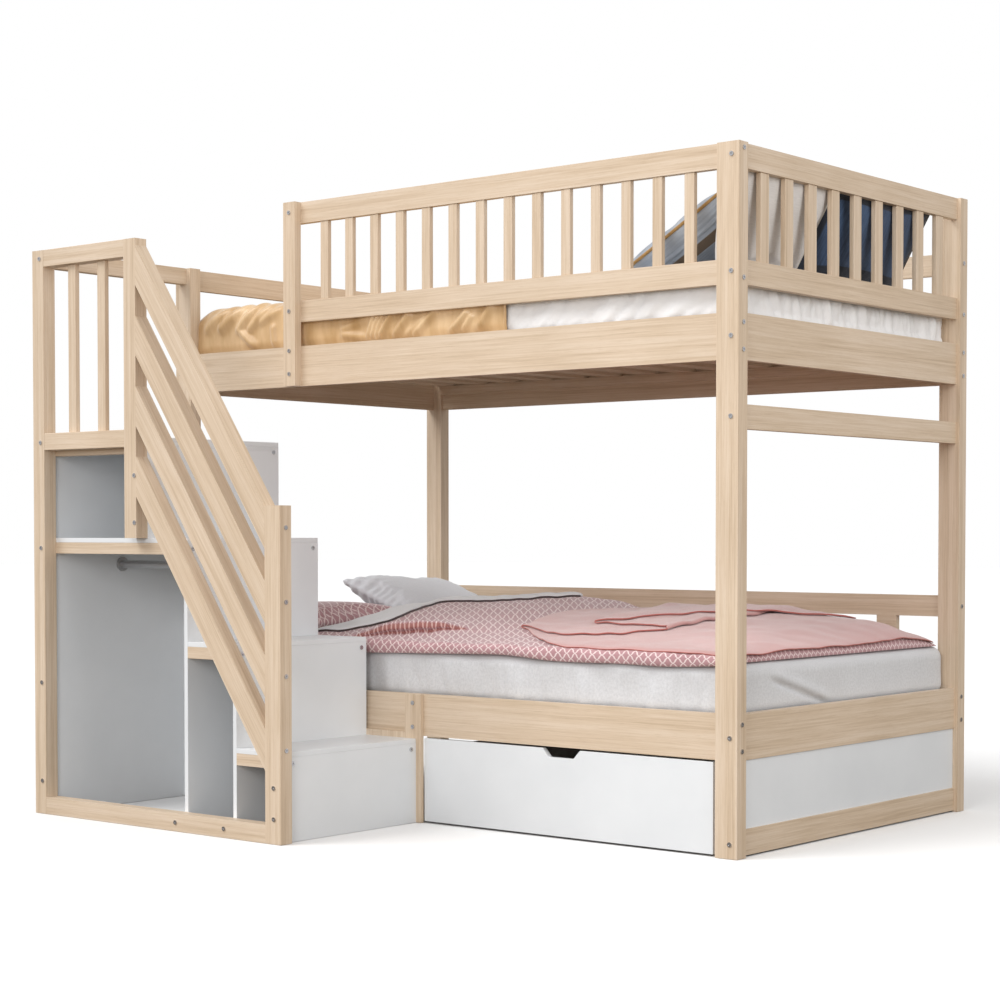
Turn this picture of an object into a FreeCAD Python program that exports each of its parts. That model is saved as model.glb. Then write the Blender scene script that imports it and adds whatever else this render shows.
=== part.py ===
"""A bunk bed with a stair unit, a wardrobe under the stairs and a drawer on castors.

Millimetres. X runs along the bed, Y from the stair front to the bed's back, Z up.
The origin is on the floor, under the middle of the whole piece.
"""
import FreeCAD, Part
import math
import os
import re

import Sketcher
from FreeCAD import Placement, Rotation, Vector

# Driving dimensions: name, size and what it is.
SIZES = [
    ("bed_length", 2200, "bed, over the posts"),
    ("bed_depth", 1290, "bed, over the posts"),
    ("bed_height", 1900, "right posts"),
    ("left_post_drop", 166, "left posts and stair guard below the right posts"),
    ("post_width", 70, "bed posts along X"),
    ("post_depth", 44, "bed posts along Y"),
    ("rail_thick", 22, "rails of the bed"),
    ("rail_inset", 12, "rail faces behind the post faces"),
    ("side_rail_height", 125, "rails that carry the beds"),
    ("guard_rail_height", 66, "guard rails"),
    ("guard_gap", 241, "between the upper and lower guard rails"),
    ("guard_lift", 75, "lower guard rails above the upper bed's rails"),
    ("mid_rail_drop", 117, "right end's middle rail below the upper bed's rails"),
    ("lower_rail_low", 260, "underside of the lower bed's rails"),
    ("bottom_rail_lift", 4, "floor gap under the right end's bottom rail"),
    ("bottom_rail_height", 70, "right end's bottom rail"),
    ("back_guard_low", 606, "underside of the lower bed's back guard"),
    ("strut_width", 70, "struts under that guard"),
    ("strut_margin", 152, "outer struts from the posts"),
    ("board_thick", 14, "white boards"),
    ("guard_slat_thick", 16, "upright guard slats"),
    ("front_slat_width", 32, "front guard slats"),
    ("front_slat_pitch", 105, "front guard slats"),
    ("end_slat_width", 42, "right guard slats"),
    ("end_slat_pitch", 123.5, "right guard slats"),
    ("slat_margin", 60, "least gap between a post and the next guard slat"),
    ("entrance_offset", 517, "entrance batten from the bed's left end"),
    ("batten_width", 51, "entrance batten"),
    ("batten_proud", 15, "entrance batten in front of the posts"),
    ("lower_batten_width", 65, "batten beside the drawer"),
    ("cleat_height", 60, "strip behind the first tread"),
    ("cleat_lap", 10, "strip behind the first tread, on the rail above it"),
    ("ledge_lift", 55, "slat ledges above the rails' underside"),
    ("ledge_height", 30, "slat ledges"),
    ("ledge_depth", 25, "slat ledges"),
    ("bed_slat_width", 70, "bed slats"),
    ("bed_slat_thick", 20, "bed slats"),
    ("bed_slat_count", 14, "bed slats of one bed"),
    ("slat_play", 1, "bed slats from the rails"),
    ("stair_depth", 585, "stair unit in front of the bed"),
    ("stair_length", 1079, "stair unit"),
    ("stair_post_width", 52, "left and middle guard post"),
    ("stair_post_depth", 44, "stair guard"),
    ("right_post_width", 61, "right guard post"),
    ("right_post_height", 944, "right guard post"),
    ("stair_rail_height", 52, "stair guard rails"),
    ("platform_rail_drop", 31, "underside of the platform's guard rail below the platform"),
    ("stair_slat_width", 35, "slats of the platform guard"),
    ("stair_slat_count", 2, "slats of the platform guard"),
    ("link_rail_thick", 32, "rail from the left guard post to the bed"),
    ("slant_width", 67, "slanted rails"),
    ("slant_count", 4, "slanted rails"),
    ("slant_pitch", 207, "slanted rails, upright"),
    ("slant_left_drop", 21, "highest slanted rail below the middle post's top"),
    ("slant_right_drop", 3, "highest slanted rail below the right post's top"),
    ("slant_bolt_bite", 28, "bolts in the slanted rails"),
    ("riser_inset", 20, "first riser behind the stair's right end"),
    ("tread_1_run", 203, "first tread"),
    ("tread_2_run", 205, "second tread"),
    ("tread_3_run", 173, "third tread"),
    ("tread_1_top", 252, "first tread"),
    ("tread_2_top", 550, "second tread"),
    ("shelf_top", 852, "third tread and shelf"),
    ("platform_top", 1152, "fourth tread"),
    ("panel_offset", 28, "left panel from the left end"),
    ("back_panel_thick", 12, "back panels of the stair unit"),
    ("tread_batten_height", 34, "battens under the treads"),
    ("tread_batten_depth", 45, "battens under the treads"),
    ("hang_rail_diameter", 25, "rail for clothes"),
    ("hang_rail_drop", 70, "rail for clothes under the shelf"),
    ("hang_flange_diameter", 45, "its end flanges"),
    ("hang_flange_thick", 6, "its end flanges"),
    ("drawer_gap_left", 3, "drawer front from the batten"),
    ("drawer_gap_right", 14, "drawer front from the post"),
    ("drawer_lift", 5, "drawer front above the floor"),
    ("drawer_height", 249, "drawer front"),
    ("drawer_front_thick", 18, "drawer front"),
    ("notch_top_width", 134, "finger notch"),
    ("notch_low_width", 88, "finger notch"),
    ("notch_depth", 25, "finger notch"),
    ("notch_round", 8, "finger notch's corners"),
    ("box_margin", 20, "drawer box inside the front's ends"),
    ("box_lift", 46, "drawer box above the floor"),
    ("box_height", 184, "drawer box"),
    ("box_depth", 720, "drawer box"),
    ("box_wall", 12, "drawer sides and back"),
    ("box_floor", 9, "drawer bottom"),
    ("wheel_diameter", 40, "castor wheels"),
    ("wheel_width", 18, "castor wheels"),
    ("axle_diameter", 8, "castor axles"),
    ("axle_play", 0.05, "wheel bore over the axle, each side"),
    ("castor_inset", 60, "castors from the box's edges"),
    ("castor_plate", 3, "castor plates and cheeks"),
    ("castor_length", 50, "castor plates along Y"),
    ("cheek_play", 1, "wheel to its cheeks"),
    ("bolt_diameter", 7, "bolt shanks"),
    ("bolt_play", 0.2, "holes around the shanks"),
    ("bolt_bite", 40, "shanks beyond the first piece"),
    ("bolt_seat", 18, "shanks in a rail's face"),
    ("head_diameter", 13, "bolt heads"),
    ("head_height", 2.5, "bolt heads"),
    ("socket_width", 5, "hexagon socket, over the corners"),
    ("socket_depth", 1.6, "hexagon socket"),
    ("bolt_stagger", 17, "crossing bolts of guard rails"),
    ("bolt_spread", 36, "paired bolts from the rail's middle"),
    ("batten_bolt_rise", 11, "the same at the entrance, above their middle"),
    ("panel_bolt_low", 102, "bolts of the left panel"),
    ("panel_bolt_high", 406, "bolts of the left panel"),
    ("riser_bolt_low", 70, "bolts of the right guard post"),
    ("riser_bolt_high", 157, "bolts of the right guard post"),
    ("mid_bolt_low", 46, "middle post's bolts above the shelf"),
    ("mid_bolt_high", 185, "middle post's bolts above the shelf"),
    ("mattress_end_play", 10, "mattresses from the end rails"),
    ("mattress_side_play", 11, "mattresses from the front and back rails"),
    ("mattress_height", 150, "both mattresses"),
    ("mattress_round", 35, "mattress edges"),
    ("seat_gap", 0.3, "soft pieces to what they rest on"),
    ("duvet_front_thick", 26, "duvet at its front edge"),
    ("duvet_head_thick", 122, "duvet where it is heaped, at the head"),
    ("duvet_foot_thick", 30, "duvet where it is heaped, at the foot"),
    ("duvet_heap", 370, "duvet's rounded back, from its crest"),
    ("duvet_head", 466, "duvet from the mattress's left end"),
    ("duvet_front_turn", 70, "turned-back strip of the duvet at the front"),
    ("duvet_back_turn", 250, "turned-back strip of the duvet at the back"),
    ("duvet_turn_thick", 22, "turned-back strip of the duvet"),
    ("duvet_drop", 42, "duvet's front edge below its top"),
    ("duvet_over", 16, "duvet's front edge before the mattress"),
    ("duvet_wave", 210, "ripples of the duvet's front edge"),
    ("blanket_gap", 300, "blanket's left tip from the duvet's turned-back strip"),
    ("blanket_thick", 16, "blanket"),
    ("blanket_front_run", 421, "blanket along X at the front"),
    ("blanket_back_run", 731, "blanket along X at the back"),
    ("blanket_margin", 20, "blanket from the duvet's back"),
    ("blanket_turn", 330, "turned-over part of the blanket"),
    ("throw_length", 1328, "throw from the mattress's left end"),
    ("throw_thick", 18, "throw on the mattress"),
    ("throw_drop_thick", 4, "throw in front of the mattress"),
    ("throw_fold", 5, "folds of the hanging part"),
    ("throw_wave", 125, "folds of the hanging part"),
    ("throw_hem", 14, "hem below the rail's top"),
    ("pillow_length", 530, "pillows along Y"),
    ("pillow_width", 390, "pillows along X"),
    ("pillow_height", 120, "pink pillow"),
    ("grey_pillow_thick", 130, "grey pillow"),
    ("grey_pillow_front_angle", 3, "grey pillow, its front edge tilted up in degrees"),
    ("grey_pillow_head_angle", 23, "grey pillow, its left edge tilted up in degrees"),
    ("grey_pillow_shift", 5, "grey pillow further from the head than the pink one"),
    ("pillow_gap", 3, "grey pillow from the pink one"),
    ("pillow_edge", 26, "pillows at their seam"),
    ("pillow_waist", 16, "sides of pillows drawn in"),
    ("pillow_margin", 60, "pillows from the mattress's edges"),
    ("grey_width", 380, "grey cushion along Y"),
    ("navy_width", 560, "navy cushion along Y"),
    ("cushion_height", 310, "cushions on the guard"),
    ("cushion_thick", 100, "leaning cushions"),
    ("cushion_edge", 16, "leaning cushions at their seam"),
    ("cushion_waist", 12, "sides of cushions drawn in"),
    ("cushion_margin", 18, "first cushion from the mattress's front"),
    ("cushion_angle", 14, "cushions on the guard, degrees from upright"),
    ("cushion_slump", 170, "the same, tops pushed sideways"),
    ("denim_angle", 58, "front cushion, degrees from upright"),
    ("denim_width", 430, "front cushion along Y"),
    ("denim_height", 385, "front cushion"),
    ("denim_margin", 35, "front cushion from the first one's near edge"),
]
SIZE_NAMES = {name for name, size, meaning in SIZES}

# Places worked out from the driving dimensions.
PLACES = {
    "right": "bed_length / 2",
    "left": "-bed_length / 2",
    "front": "(stair_depth - bed_depth) / 2",
    "back": "front + bed_depth",
    "stair_front": "front - stair_depth",
    "bed_middle": "front + bed_depth / 2",
    "inner_left": "left + post_width",
    "inner_right": "right - post_width",
    "inner_front": "front + post_depth",
    "inner_back": "back - post_depth",
    "front_rail_out": "front + rail_inset",
    "front_rail_in": "front_rail_out + rail_thick",
    "front_rail_mid": "front_rail_out + rail_thick / 2",
    "back_rail_out": "back - rail_inset",
    "back_rail_in": "back_rail_out - rail_thick",
    "back_rail_mid": "back_rail_out - rail_thick / 2",
    "right_rail_out": "right - rail_inset",
    "right_rail_in": "right_rail_out - rail_thick",
    "right_rail_mid": "right_rail_out - rail_thick / 2",
    "left_rail_out": "left + rail_inset",
    "left_rail_in": "left_rail_out + rail_thick",
    "left_rail_mid": "left_rail_out + rail_thick / 2",
    "left_post_height": "bed_height - left_post_drop",
    "upper_rail_top": "guard_low - guard_lift",
    "upper_rail_low": "upper_rail_top - side_rail_height",
    "upper_rail_mid": "upper_rail_low + side_rail_height / 2",
    "lower_rail_top": "lower_rail_low + side_rail_height",
    "lower_rail_mid": "lower_rail_low + side_rail_height / 2",
    "guard_top_low": "bed_height - guard_rail_height",
    "guard_top_mid": "bed_height - guard_rail_height / 2",
    "guard_low_top": "guard_top_low - guard_gap",
    "guard_low": "guard_low_top - guard_rail_height",
    "guard_low_mid": "guard_low + guard_rail_height / 2",
    "left_guard_low": "left_post_height - guard_rail_height",
    "left_guard_mid": "left_post_height - guard_rail_height / 2",
    "mid_rail_top": "upper_rail_low - mid_rail_drop",
    "mid_rail_low": "mid_rail_top - guard_rail_height",
    "mid_rail_mid": "mid_rail_low + guard_rail_height / 2",
    "bottom_rail_top": "bottom_rail_lift + bottom_rail_height",
    "bottom_rail_mid": "bottom_rail_lift + bottom_rail_height / 2",
    "back_guard_mid": "back_guard_low + guard_rail_height / 2",
    "upper_bed_low": "upper_rail_low + ledge_lift + ledge_height + bed_slat_thick",
    "upper_bed_top": "upper_bed_low + mattress_height",
    "lower_bed_low": "lower_rail_low + ledge_lift + ledge_height + bed_slat_thick",
    "lower_bed_top": "lower_bed_low + mattress_height",
    "batten_left": "left + entrance_offset",
    "batten_right": "batten_left + batten_width",
    "batten_mid": "batten_left + batten_width / 2",
    "batten_out": "front - batten_proud",
    "stair_right": "left + stair_length",
    "right_post_left": "stair_right - right_post_width",
    "carcass_front": "stair_front + stair_post_depth",
    "riser_1": "stair_right - riser_inset",
    "riser_2": "riser_1 - tread_1_run",
    "riser_3": "riser_2 - tread_2_run",
    "riser_4": "riser_3 - tread_3_run",
    "tread_1_low": "tread_1_top - board_thick",
    "tread_2_low": "tread_2_top - board_thick",
    "shelf_low": "shelf_top - board_thick",
    "platform_low": "platform_top - board_thick",
    "panel_left": "left + panel_offset",
    "panel_right": "panel_left + board_thick",
    "panel_mid": "panel_left + board_thick / 2",
    "stair_rail_mid": "left_post_height - stair_rail_height / 2",
    "stair_rail_low": "platform_top - platform_rail_drop",
    "slant_left_top": "left_post_height - slant_left_drop",
    "slant_right_top": "right_post_height - slant_right_drop",
    "slant_run": "right_post_left - riser_4",
    "slant_rise": "slant_left_top - slant_right_top",
    "slant_upright": "slant_width * sqrt(1 + (slant_rise / slant_run) ^ 2)",
    "rear_batten_mid": "front - tread_batten_depth / 2",
    "fore_batten_mid": "carcass_front + tread_batten_depth / 2",
    "drawer_left": "stair_right + drawer_gap_left",
    "drawer_right": "inner_right - drawer_gap_right",
    "drawer_back": "front_rail_out + drawer_front_thick",
    "box_left": "drawer_left + box_margin",
    "box_right": "drawer_right - box_margin",
    "box_end": "drawer_back + box_depth",
    "mattress_left": "left_rail_in + mattress_end_play",
    "mattress_right": "right_rail_in - mattress_end_play",
    "mattress_front": "front_rail_in + mattress_side_play",
    "mattress_back": "back_rail_in - mattress_side_play",
}

doc = FreeCAD.newDocument("bunk_bed")
sheet = doc.addObject("Spreadsheet::Sheet", "Sizes")
for row, (name, size, meaning) in enumerate(SIZES, start=1):
    sheet.set(f"A{row}", name)
    sheet.set(f"B{row}", str(size))
    sheet.set(f"C{row}", meaning)
    sheet.setAlias(f"B{row}", name)
doc.recompute()

gauge = doc.addObject("App::VarSet", "Gauge")
gauge.addProperty("App::PropertyFloat", "reading")
nodes = {}
NEAR = 0.001  # two places closer than this are one


def formula(text):
    """An expression in sheet cells from one in names of sizes and places."""
    def spell(match):
        word = match.group(0)
        if word in PLACES:
            return "(" + formula(PLACES[word]) + ")"
        return "Sizes." + word if word in SIZE_NAMES else word
    return re.sub(r"[a-z][a-z0-9_]*", spell, str(text))


def number(text):
    """The present size of an expression."""
    gauge.setExpression("reading", formula(text))
    gauge.recompute()
    return gauge.reading


def bind(thing, name, text):
    thing.setExpression(name, formula(text))


def move_to(thing, x, y, z):
    """Bind the place of a piece."""
    for axis, text in zip("xyz", (x, y, z)):
        bind(thing, f"Placement.Base.{axis}", text)


def keep(label, thing):
    """Make a piece a node of the finished part."""
    thing.Label = label
    nodes[label] = thing
    return thing


def board(name, x, y, z):
    """A rectangular piece between two places on each axis."""
    box = doc.addObject("Part::Box", name)
    for side, (start, end) in zip(("Length", "Width", "Height"), (x, y, z)):
        bind(box, side, f"({end}) - ({start})")
    move_to(box, x[0], y[0], z[0])
    return box


def group(label, members):
    """Like pieces that share one node."""
    pack = doc.addObject("Part::Compound", label)
    pack.Links = members
    return keep(label, pack)


def plane(body, role):
    return next(item for item in body.Origin.OriginFeatures if item.Role == role)


def prism(name, outline, depth):
    """A board cut to an outline in X and Z, padded towards +Y."""
    body = doc.addObject("PartDesign::Body", name)
    sketch = body.newObject("Sketcher::SketchObject", name + "_outline")
    sketch.AttachmentSupport = (plane(body, "XZ_Plane"), "")
    sketch.MapMode = "FlatFace"
    corners = [Vector(number(x), number(z), 0) for x, z in outline]
    for start, end in zip(corners, corners[1:] + corners[:1]):
        sketch.addGeometry(Part.LineSegment(start, end), False)
    for index, (x, z) in enumerate(outline):
        following = (index + 1) % len(outline)
        sketch.addConstraint(Sketcher.Constraint("Coincident", index, 2, following, 1))
        place = corners[index]
        for kind, axis, text, at in (("DistanceX", -2, x, place.x), ("DistanceY", -1, z, place.y)):
            if text == "0":
                sketch.addConstraint(Sketcher.Constraint("PointOnObject", index, 1, axis))
            else:
                number_of_rule = sketch.addConstraint(Sketcher.Constraint(kind, -1, 1, index, 1, at))
                bind(sketch, f"Constraints[{number_of_rule}]", text)
    pad = body.newObject("PartDesign::Pad", name + "_pad")
    pad.Profile = sketch
    pad.Reversed = True
    bind(pad, "Length", depth)
    doc.recompute()
    return body


def round_bar(name, diameter, length):
    """A round bar along +X from its own origin."""
    bar = doc.addObject("Part::Cylinder", name)
    bind(bar, "Radius", f"({diameter}) / 2")
    bind(bar, "Height", length)
    bar.Placement = Placement(Vector(), Rotation(Vector(0, 1, 0), 90))
    return bar


def fuse(name, members):
    joined = doc.addObject("Part::MultiFuse", name)
    joined.Shapes = members
    return joined


def solid_node(label, shape):
    """A soft piece, shaped from the sheet's sizes."""
    thing = doc.addObject("Part::Feature", label)
    thing.Shape = shape
    return keep(label, thing)


# Bolts: where each head sits, which way its shank points, its length and the pieces it goes through.
bolts = []
DIRECTIONS = {"+y": Vector(0, 1, 0), "-y": Vector(0, -1, 0), "-x": Vector(-1, 0, 0), "+x": Vector(1, 0, 0)}


def bolt(x, y, z, direction, length, *pieces):
    head = Vector(number(x), number(y), number(z))
    bolts.append((head, DIRECTIONS[direction], number(length), pieces))


def drilled(name, piece):
    """The piece with the holes of its bolts."""
    holes = []
    for head, direction, length, pieces in bolts:
        if name in pieces:
            radius = number("bolt_diameter / 2 + bolt_play")
            run_in = number("head_height")
            depth = run_in + length + number("bolt_play")
            holes.append(Part.makeCylinder(radius, depth, head - direction * run_in, direction))
    if not holes:
        return piece
    tool = doc.addObject("Part::Feature", name + "_holes")
    tool.Shape = Part.makeCompound(holes)
    cut = doc.addObject("Part::Cut", name)
    cut.Base = piece
    cut.Tool = tool
    return cut


def bolt_shape(length):
    """A round head with a hexagon socket on a plain shank, pointing up from the head's seat."""
    head_height = number("head_height")
    shank = Part.makeCylinder(number("bolt_diameter / 2"), length)
    head = Part.makeCylinder(number("head_diameter / 2"), head_height, Vector(0, 0, -head_height))
    corner = number("socket_width / 2")
    turns = [math.radians(60 * step) for step in range(7)]
    ring = Part.makePolygon([Vector(corner * math.cos(a), corner * math.sin(a), -head_height) for a in turns])
    socket = Part.Face(ring).extrude(Vector(0, 0, number("socket_depth")))
    return head.fuse(shank).removeSplitter().cut(socket)


def plan_bolts():
    """All bolts of the bed and the stair unit."""
    end_length, side_length = "post_depth + bolt_bite", "post_width + bolt_bite"
    right_end = {"guard_top_mid": "guard_right_top", "guard_low_mid": "guard_right_low",
                 "upper_rail_mid": "upper_right_rail", "mid_rail_mid": "right_mid_rail",
                 "lower_rail_mid": "lower_right_rail", "bottom_rail_mid": "right_bottom_rail"}
    for level, rail in right_end.items():
        bolt("right_rail_mid", "front", level, "+y", end_length, "post_front_right", rail)
        bolt("right_rail_mid", "back", level, "-y", end_length, "post_back_right", rail)
    bolt("left_rail_mid", "front", "upper_rail_mid", "+y", end_length, "post_front_left", "upper_left_rail")
    left_end = {"left_guard_mid - bolt_stagger": "guard_left_rail", "upper_rail_mid": "upper_left_rail",
                "lower_rail_mid": "lower_left_rail"}
    for level, rail in left_end.items():
        bolt("left_rail_mid", "back", level, "-y", end_length, "post_back_left", rail)

    bolt("right", "front_rail_mid", "guard_top_mid + bolt_stagger", "-x", side_length,
         "post_front_right", "guard_front_top")
    bolt("right", "front_rail_mid", "guard_low_mid - bolt_stagger", "-x", side_length,
         "post_front_right", "guard_front_low")
    for x, direction, side in (("right", "-x", "right"), ("left", "+x", "left")):
        for spread in ("- bolt_spread", "+ bolt_spread"):
            for level in ("upper", "lower"):
                height = f"{level}_rail_mid {spread}"
                for row in ("front", "back"):
                    bolt(x, f"{row}_rail_mid", height, direction, side_length,
                         f"post_{row}_{side}", f"{level}_{row}_rail")
        back_rails = {"left_guard_mid": "guard_back_top", "guard_low_mid - bolt_stagger": "guard_back_low",
                      "back_guard_mid": "back_guard_rail"}
        for height, rail in back_rails.items():
            bolt(x, "back_rail_mid", height, direction, side_length, f"post_back_{side}", rail)

    entrance = {"guard_top_mid": "guard_front_top", "guard_low_mid": "guard_front_low",
                "upper_rail_mid + batten_bolt_rise + bolt_spread": "upper_front_rail",
                "upper_rail_mid + batten_bolt_rise - bolt_spread": "upper_front_rail"}
    for level, rail in entrance.items():
        bolt("batten_mid", "batten_out", level, "+y", "batten_proud + rail_inset + bolt_seat",
             "guard_front_batten", rail)
    for spread in ("- bolt_spread", "+ bolt_spread"):
        bolt("stair_right - lower_batten_width / 2", "front", "lower_rail_mid " + spread, "+y",
             "rail_inset + bolt_seat", "batten_upright", "lower_front_rail")
    plan_stair_bolts()


def plan_stair_bolts():
    length = "stair_post_depth + bolt_bite"
    left_post = {"stair_rail_mid": "stair_link_rail",
                 "platform_low + board_thick / 2": "stair_platform",
                 "shelf_low - tread_batten_height / 2": "stair_left_panel",
                 "panel_bolt_high": "stair_left_panel",
                 "panel_bolt_low": "stair_left_panel"}
    for level, held in left_post.items():
        bolt("panel_mid", "stair_front", level, "+y", length, "stair_post_left", held)
    for level in ("mid_bolt_low", "mid_bolt_high"):
        bolt("riser_4 - board_thick / 2", "stair_front", "shelf_top + " + level, "+y", length,
             "stair_post_mid", "riser_4")
    for level in ("riser_bolt_low", "riser_bolt_high"):
        bolt("riser_1 - board_thick / 2", "stair_front", level, "+y", length, "stair_post_right", "riser_1")
    for riser in ("riser_2", "riser_3"):
        bolt(riser + " - board_thick / 2", "stair_front", "stair_rail_height / 2", "+y", length,
             "stair_bottom_rail", riser)
    for step in range(int(number("slant_count"))):
        bolt("stair_right", "stair_front + stair_post_depth / 2",
             f"slant_right_top - slant_upright / 2 - {step} * slant_pitch", "-x",
             "right_post_width + slant_bolt_bite", "stair_post_right", f"slant_{step + 1}")
    for step, low in enumerate(("tread_1_low", "tread_2_low", "shelf_low", "platform_low"), start=1):
        for side in ("fore", "rear"):
            bolt(f"riser_{step}", f"{side}_batten_mid", f"{low} - tread_batten_height / 2", "-x",
                 "board_thick + bolt_bite", f"riser_{step}", f"{side}_batten_{step}")


def piece(name, x, y, z):
    """A board with its bolt holes."""
    blank = board(name + "_blank", x, y, z)
    return drilled(name, blank)


def wood(label, x, y, z):
    """A board that is a node by itself."""
    return keep(label, piece(label, x, y, z))


def make_posts():
    for side, x, height in (("right", ("inner_right", "right"), "bed_height"),
                            ("left", ("left", "inner_left"), "left_post_height")):
        wood(f"post_front_{side}", x, ("front", "inner_front"), ("0", height))
        wood(f"post_back_{side}", x, ("inner_back", "back"), ("0", height))


def make_bed_rails():
    """Side and end rails of both beds."""
    along, across = ("inner_left", "inner_right"), ("inner_front", "inner_back")
    for level in ("upper", "lower"):
        height = (f"{level}_rail_low", f"{level}_rail_top")
        wood(f"{level}_front_rail", along, ("front_rail_out", "front_rail_in"), height)
        wood(f"{level}_back_rail", along, ("back_rail_in", "back_rail_out"), height)
        group(f"{level}_end_rails", [
            piece(f"{level}_right_rail", ("right_rail_in", "right_rail_out"), across, height),
            piece(f"{level}_left_rail", ("left_rail_out", "left_rail_in"), across, height)])


def make_bed_slats():
    """Ledges inside the side rails and the slats that lie on them."""
    ledges = []
    for level in ("upper", "lower"):
        low = f"{level}_rail_low + ledge_lift"
        height = (low, low + " + ledge_height")
        along = ("inner_left", "inner_right")
        for side, y in (("front", ("front_rail_in", "front_rail_in + ledge_depth")),
                        ("back", ("back_rail_in - ledge_depth", "back_rail_in"))):
            ledges.append(board(f"{level}_{side}_ledge", along, y, height))
        slats = []
        for index in range(int(number("bed_slat_count"))):
            pitch = "(inner_right - inner_left - bed_slat_width) / (bed_slat_count - 1)"
            start = f"inner_left + {index} * {pitch}"
            slats.append(board(f"{level}_slat_{index + 1}", (start, start + " + bed_slat_width"),
                               ("front_rail_in + slat_play", "back_rail_in - slat_play"),
                               (f"{level}_bed_low - bed_slat_thick", f"{level}_bed_low")))
        group(f"{level}_bed_slats", slats)
    group("slat_ledges", ledges)


def slat_count(start, end, width, pitch):
    """How many guard slats go between two places."""
    return int(number(f"(({end}) - ({start}) - {width} - 2 * slat_margin) / {pitch}")) + 1


def upright_slats(label, count, spot, width, middle, z, along_x):
    """Slats between two guard rails; spot gives each slat's middle along the rail."""
    slats = []
    thick = (f"({middle}) - guard_slat_thick / 2", f"({middle}) + guard_slat_thick / 2")
    for index in range(count):
        centre = spot(index)
        wide = (f"({centre}) - {width} / 2", f"({centre}) + {width} / 2")
        x, y = (wide, thick) if along_x else (thick, wide)
        slats.append(board(f"{label}_{index + 1}", x, y, z))
    return group(label, slats)


def spread_from(middle, pitch, count):
    """Places of equally spaced pieces about a middle."""
    return lambda index: f"({middle}) + ({index} - ({count} - 1) / 2) * ({pitch})"


def make_upper_guards():
    between = ("guard_low_top", "guard_top_low")
    top, low = ("guard_top_low", "bed_height"), ("guard_low", "guard_low_top")
    front_x, front_y = ("batten_left", "inner_right"), ("front_rail_out", "front_rail_in")
    group("guard_front_rails", [piece("guard_front_top", front_x, front_y, top),
                                piece("guard_front_low", front_x, front_y, low)])
    count = slat_count("batten_right", "inner_right", "front_slat_width", "front_slat_pitch")
    upright_slats("guard_front_slats", count,
                  spread_from("(batten_right + inner_right) / 2", "front_slat_pitch", count),
                  "front_slat_width", "front_rail_mid", between, True)
    wood("guard_front_batten", ("batten_left", "batten_right"), ("batten_out", "front_rail_out"),
         ("upper_rail_low", "bed_height"))

    end_x, end_y = ("right_rail_in", "right_rail_out"), ("inner_front", "inner_back")
    group("guard_right_rails", [piece("guard_right_top", end_x, end_y, top),
                                piece("guard_right_low", end_x, end_y, low)])
    count = slat_count("inner_front", "inner_back", "end_slat_width", "end_slat_pitch")
    upright_slats("guard_right_slats", count, spread_from("bed_middle", "end_slat_pitch", count),
                  "end_slat_width", "right_rail_mid", between, False)
    wood("right_mid_rail", end_x, end_y, ("mid_rail_low", "mid_rail_top"))

    back_x, back_y = ("inner_left", "inner_right"), ("back_rail_in", "back_rail_out")
    left_top = ("left_guard_low", "left_post_height")
    group("guard_back_rails", [piece("guard_back_top", back_x, back_y, left_top),
                               piece("guard_back_low", back_x, back_y, low)])
    wood("guard_left_rail", ("left_rail_out", "left_rail_in"), end_y, left_top)


def make_lower_bed():
    """Batten, right end infill and back guard of the lower bed."""
    across = ("inner_front", "inner_back")
    batten_left, proud = "stair_right - lower_batten_width", ("front", "front_rail_out")
    cleat_top = "lower_rail_low + cleat_lap"
    upright = piece("batten_upright", (batten_left, "stair_right"), proud, ("0", "lower_rail_top"))
    cleat = board("batten_cleat", ("inner_left", batten_left), proud,
                  (f"{cleat_top} - cleat_height", cleat_top))
    group("lower_batten", [upright, cleat])
    wood("right_bottom_rail", ("right_rail_in", "right_rail_out"), across,
         ("bottom_rail_lift", "bottom_rail_top"))
    wood("right_panel", ("right_rail_mid - board_thick / 2", "right_rail_mid + board_thick / 2"), across,
         ("bottom_rail_top", "lower_rail_low"))
    back_y = ("back_rail_in", "back_rail_out")
    pieces = [piece("back_guard_rail", ("inner_left", "inner_right"), back_y,
                    ("back_guard_low", "back_guard_low + guard_rail_height"))]
    for name, middle in (("right", "inner_right - strut_margin - strut_width / 2"), ("middle", "0"),
                         ("left", "inner_left + strut_margin + strut_width / 2")):
        wide = (f"{middle} - strut_width / 2", f"{middle} + strut_width / 2")
        pieces.append(board(f"strut_{name}", wide, back_y, ("lower_rail_top", "back_guard_low")))
    group("lower_back_guard", pieces)


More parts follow.
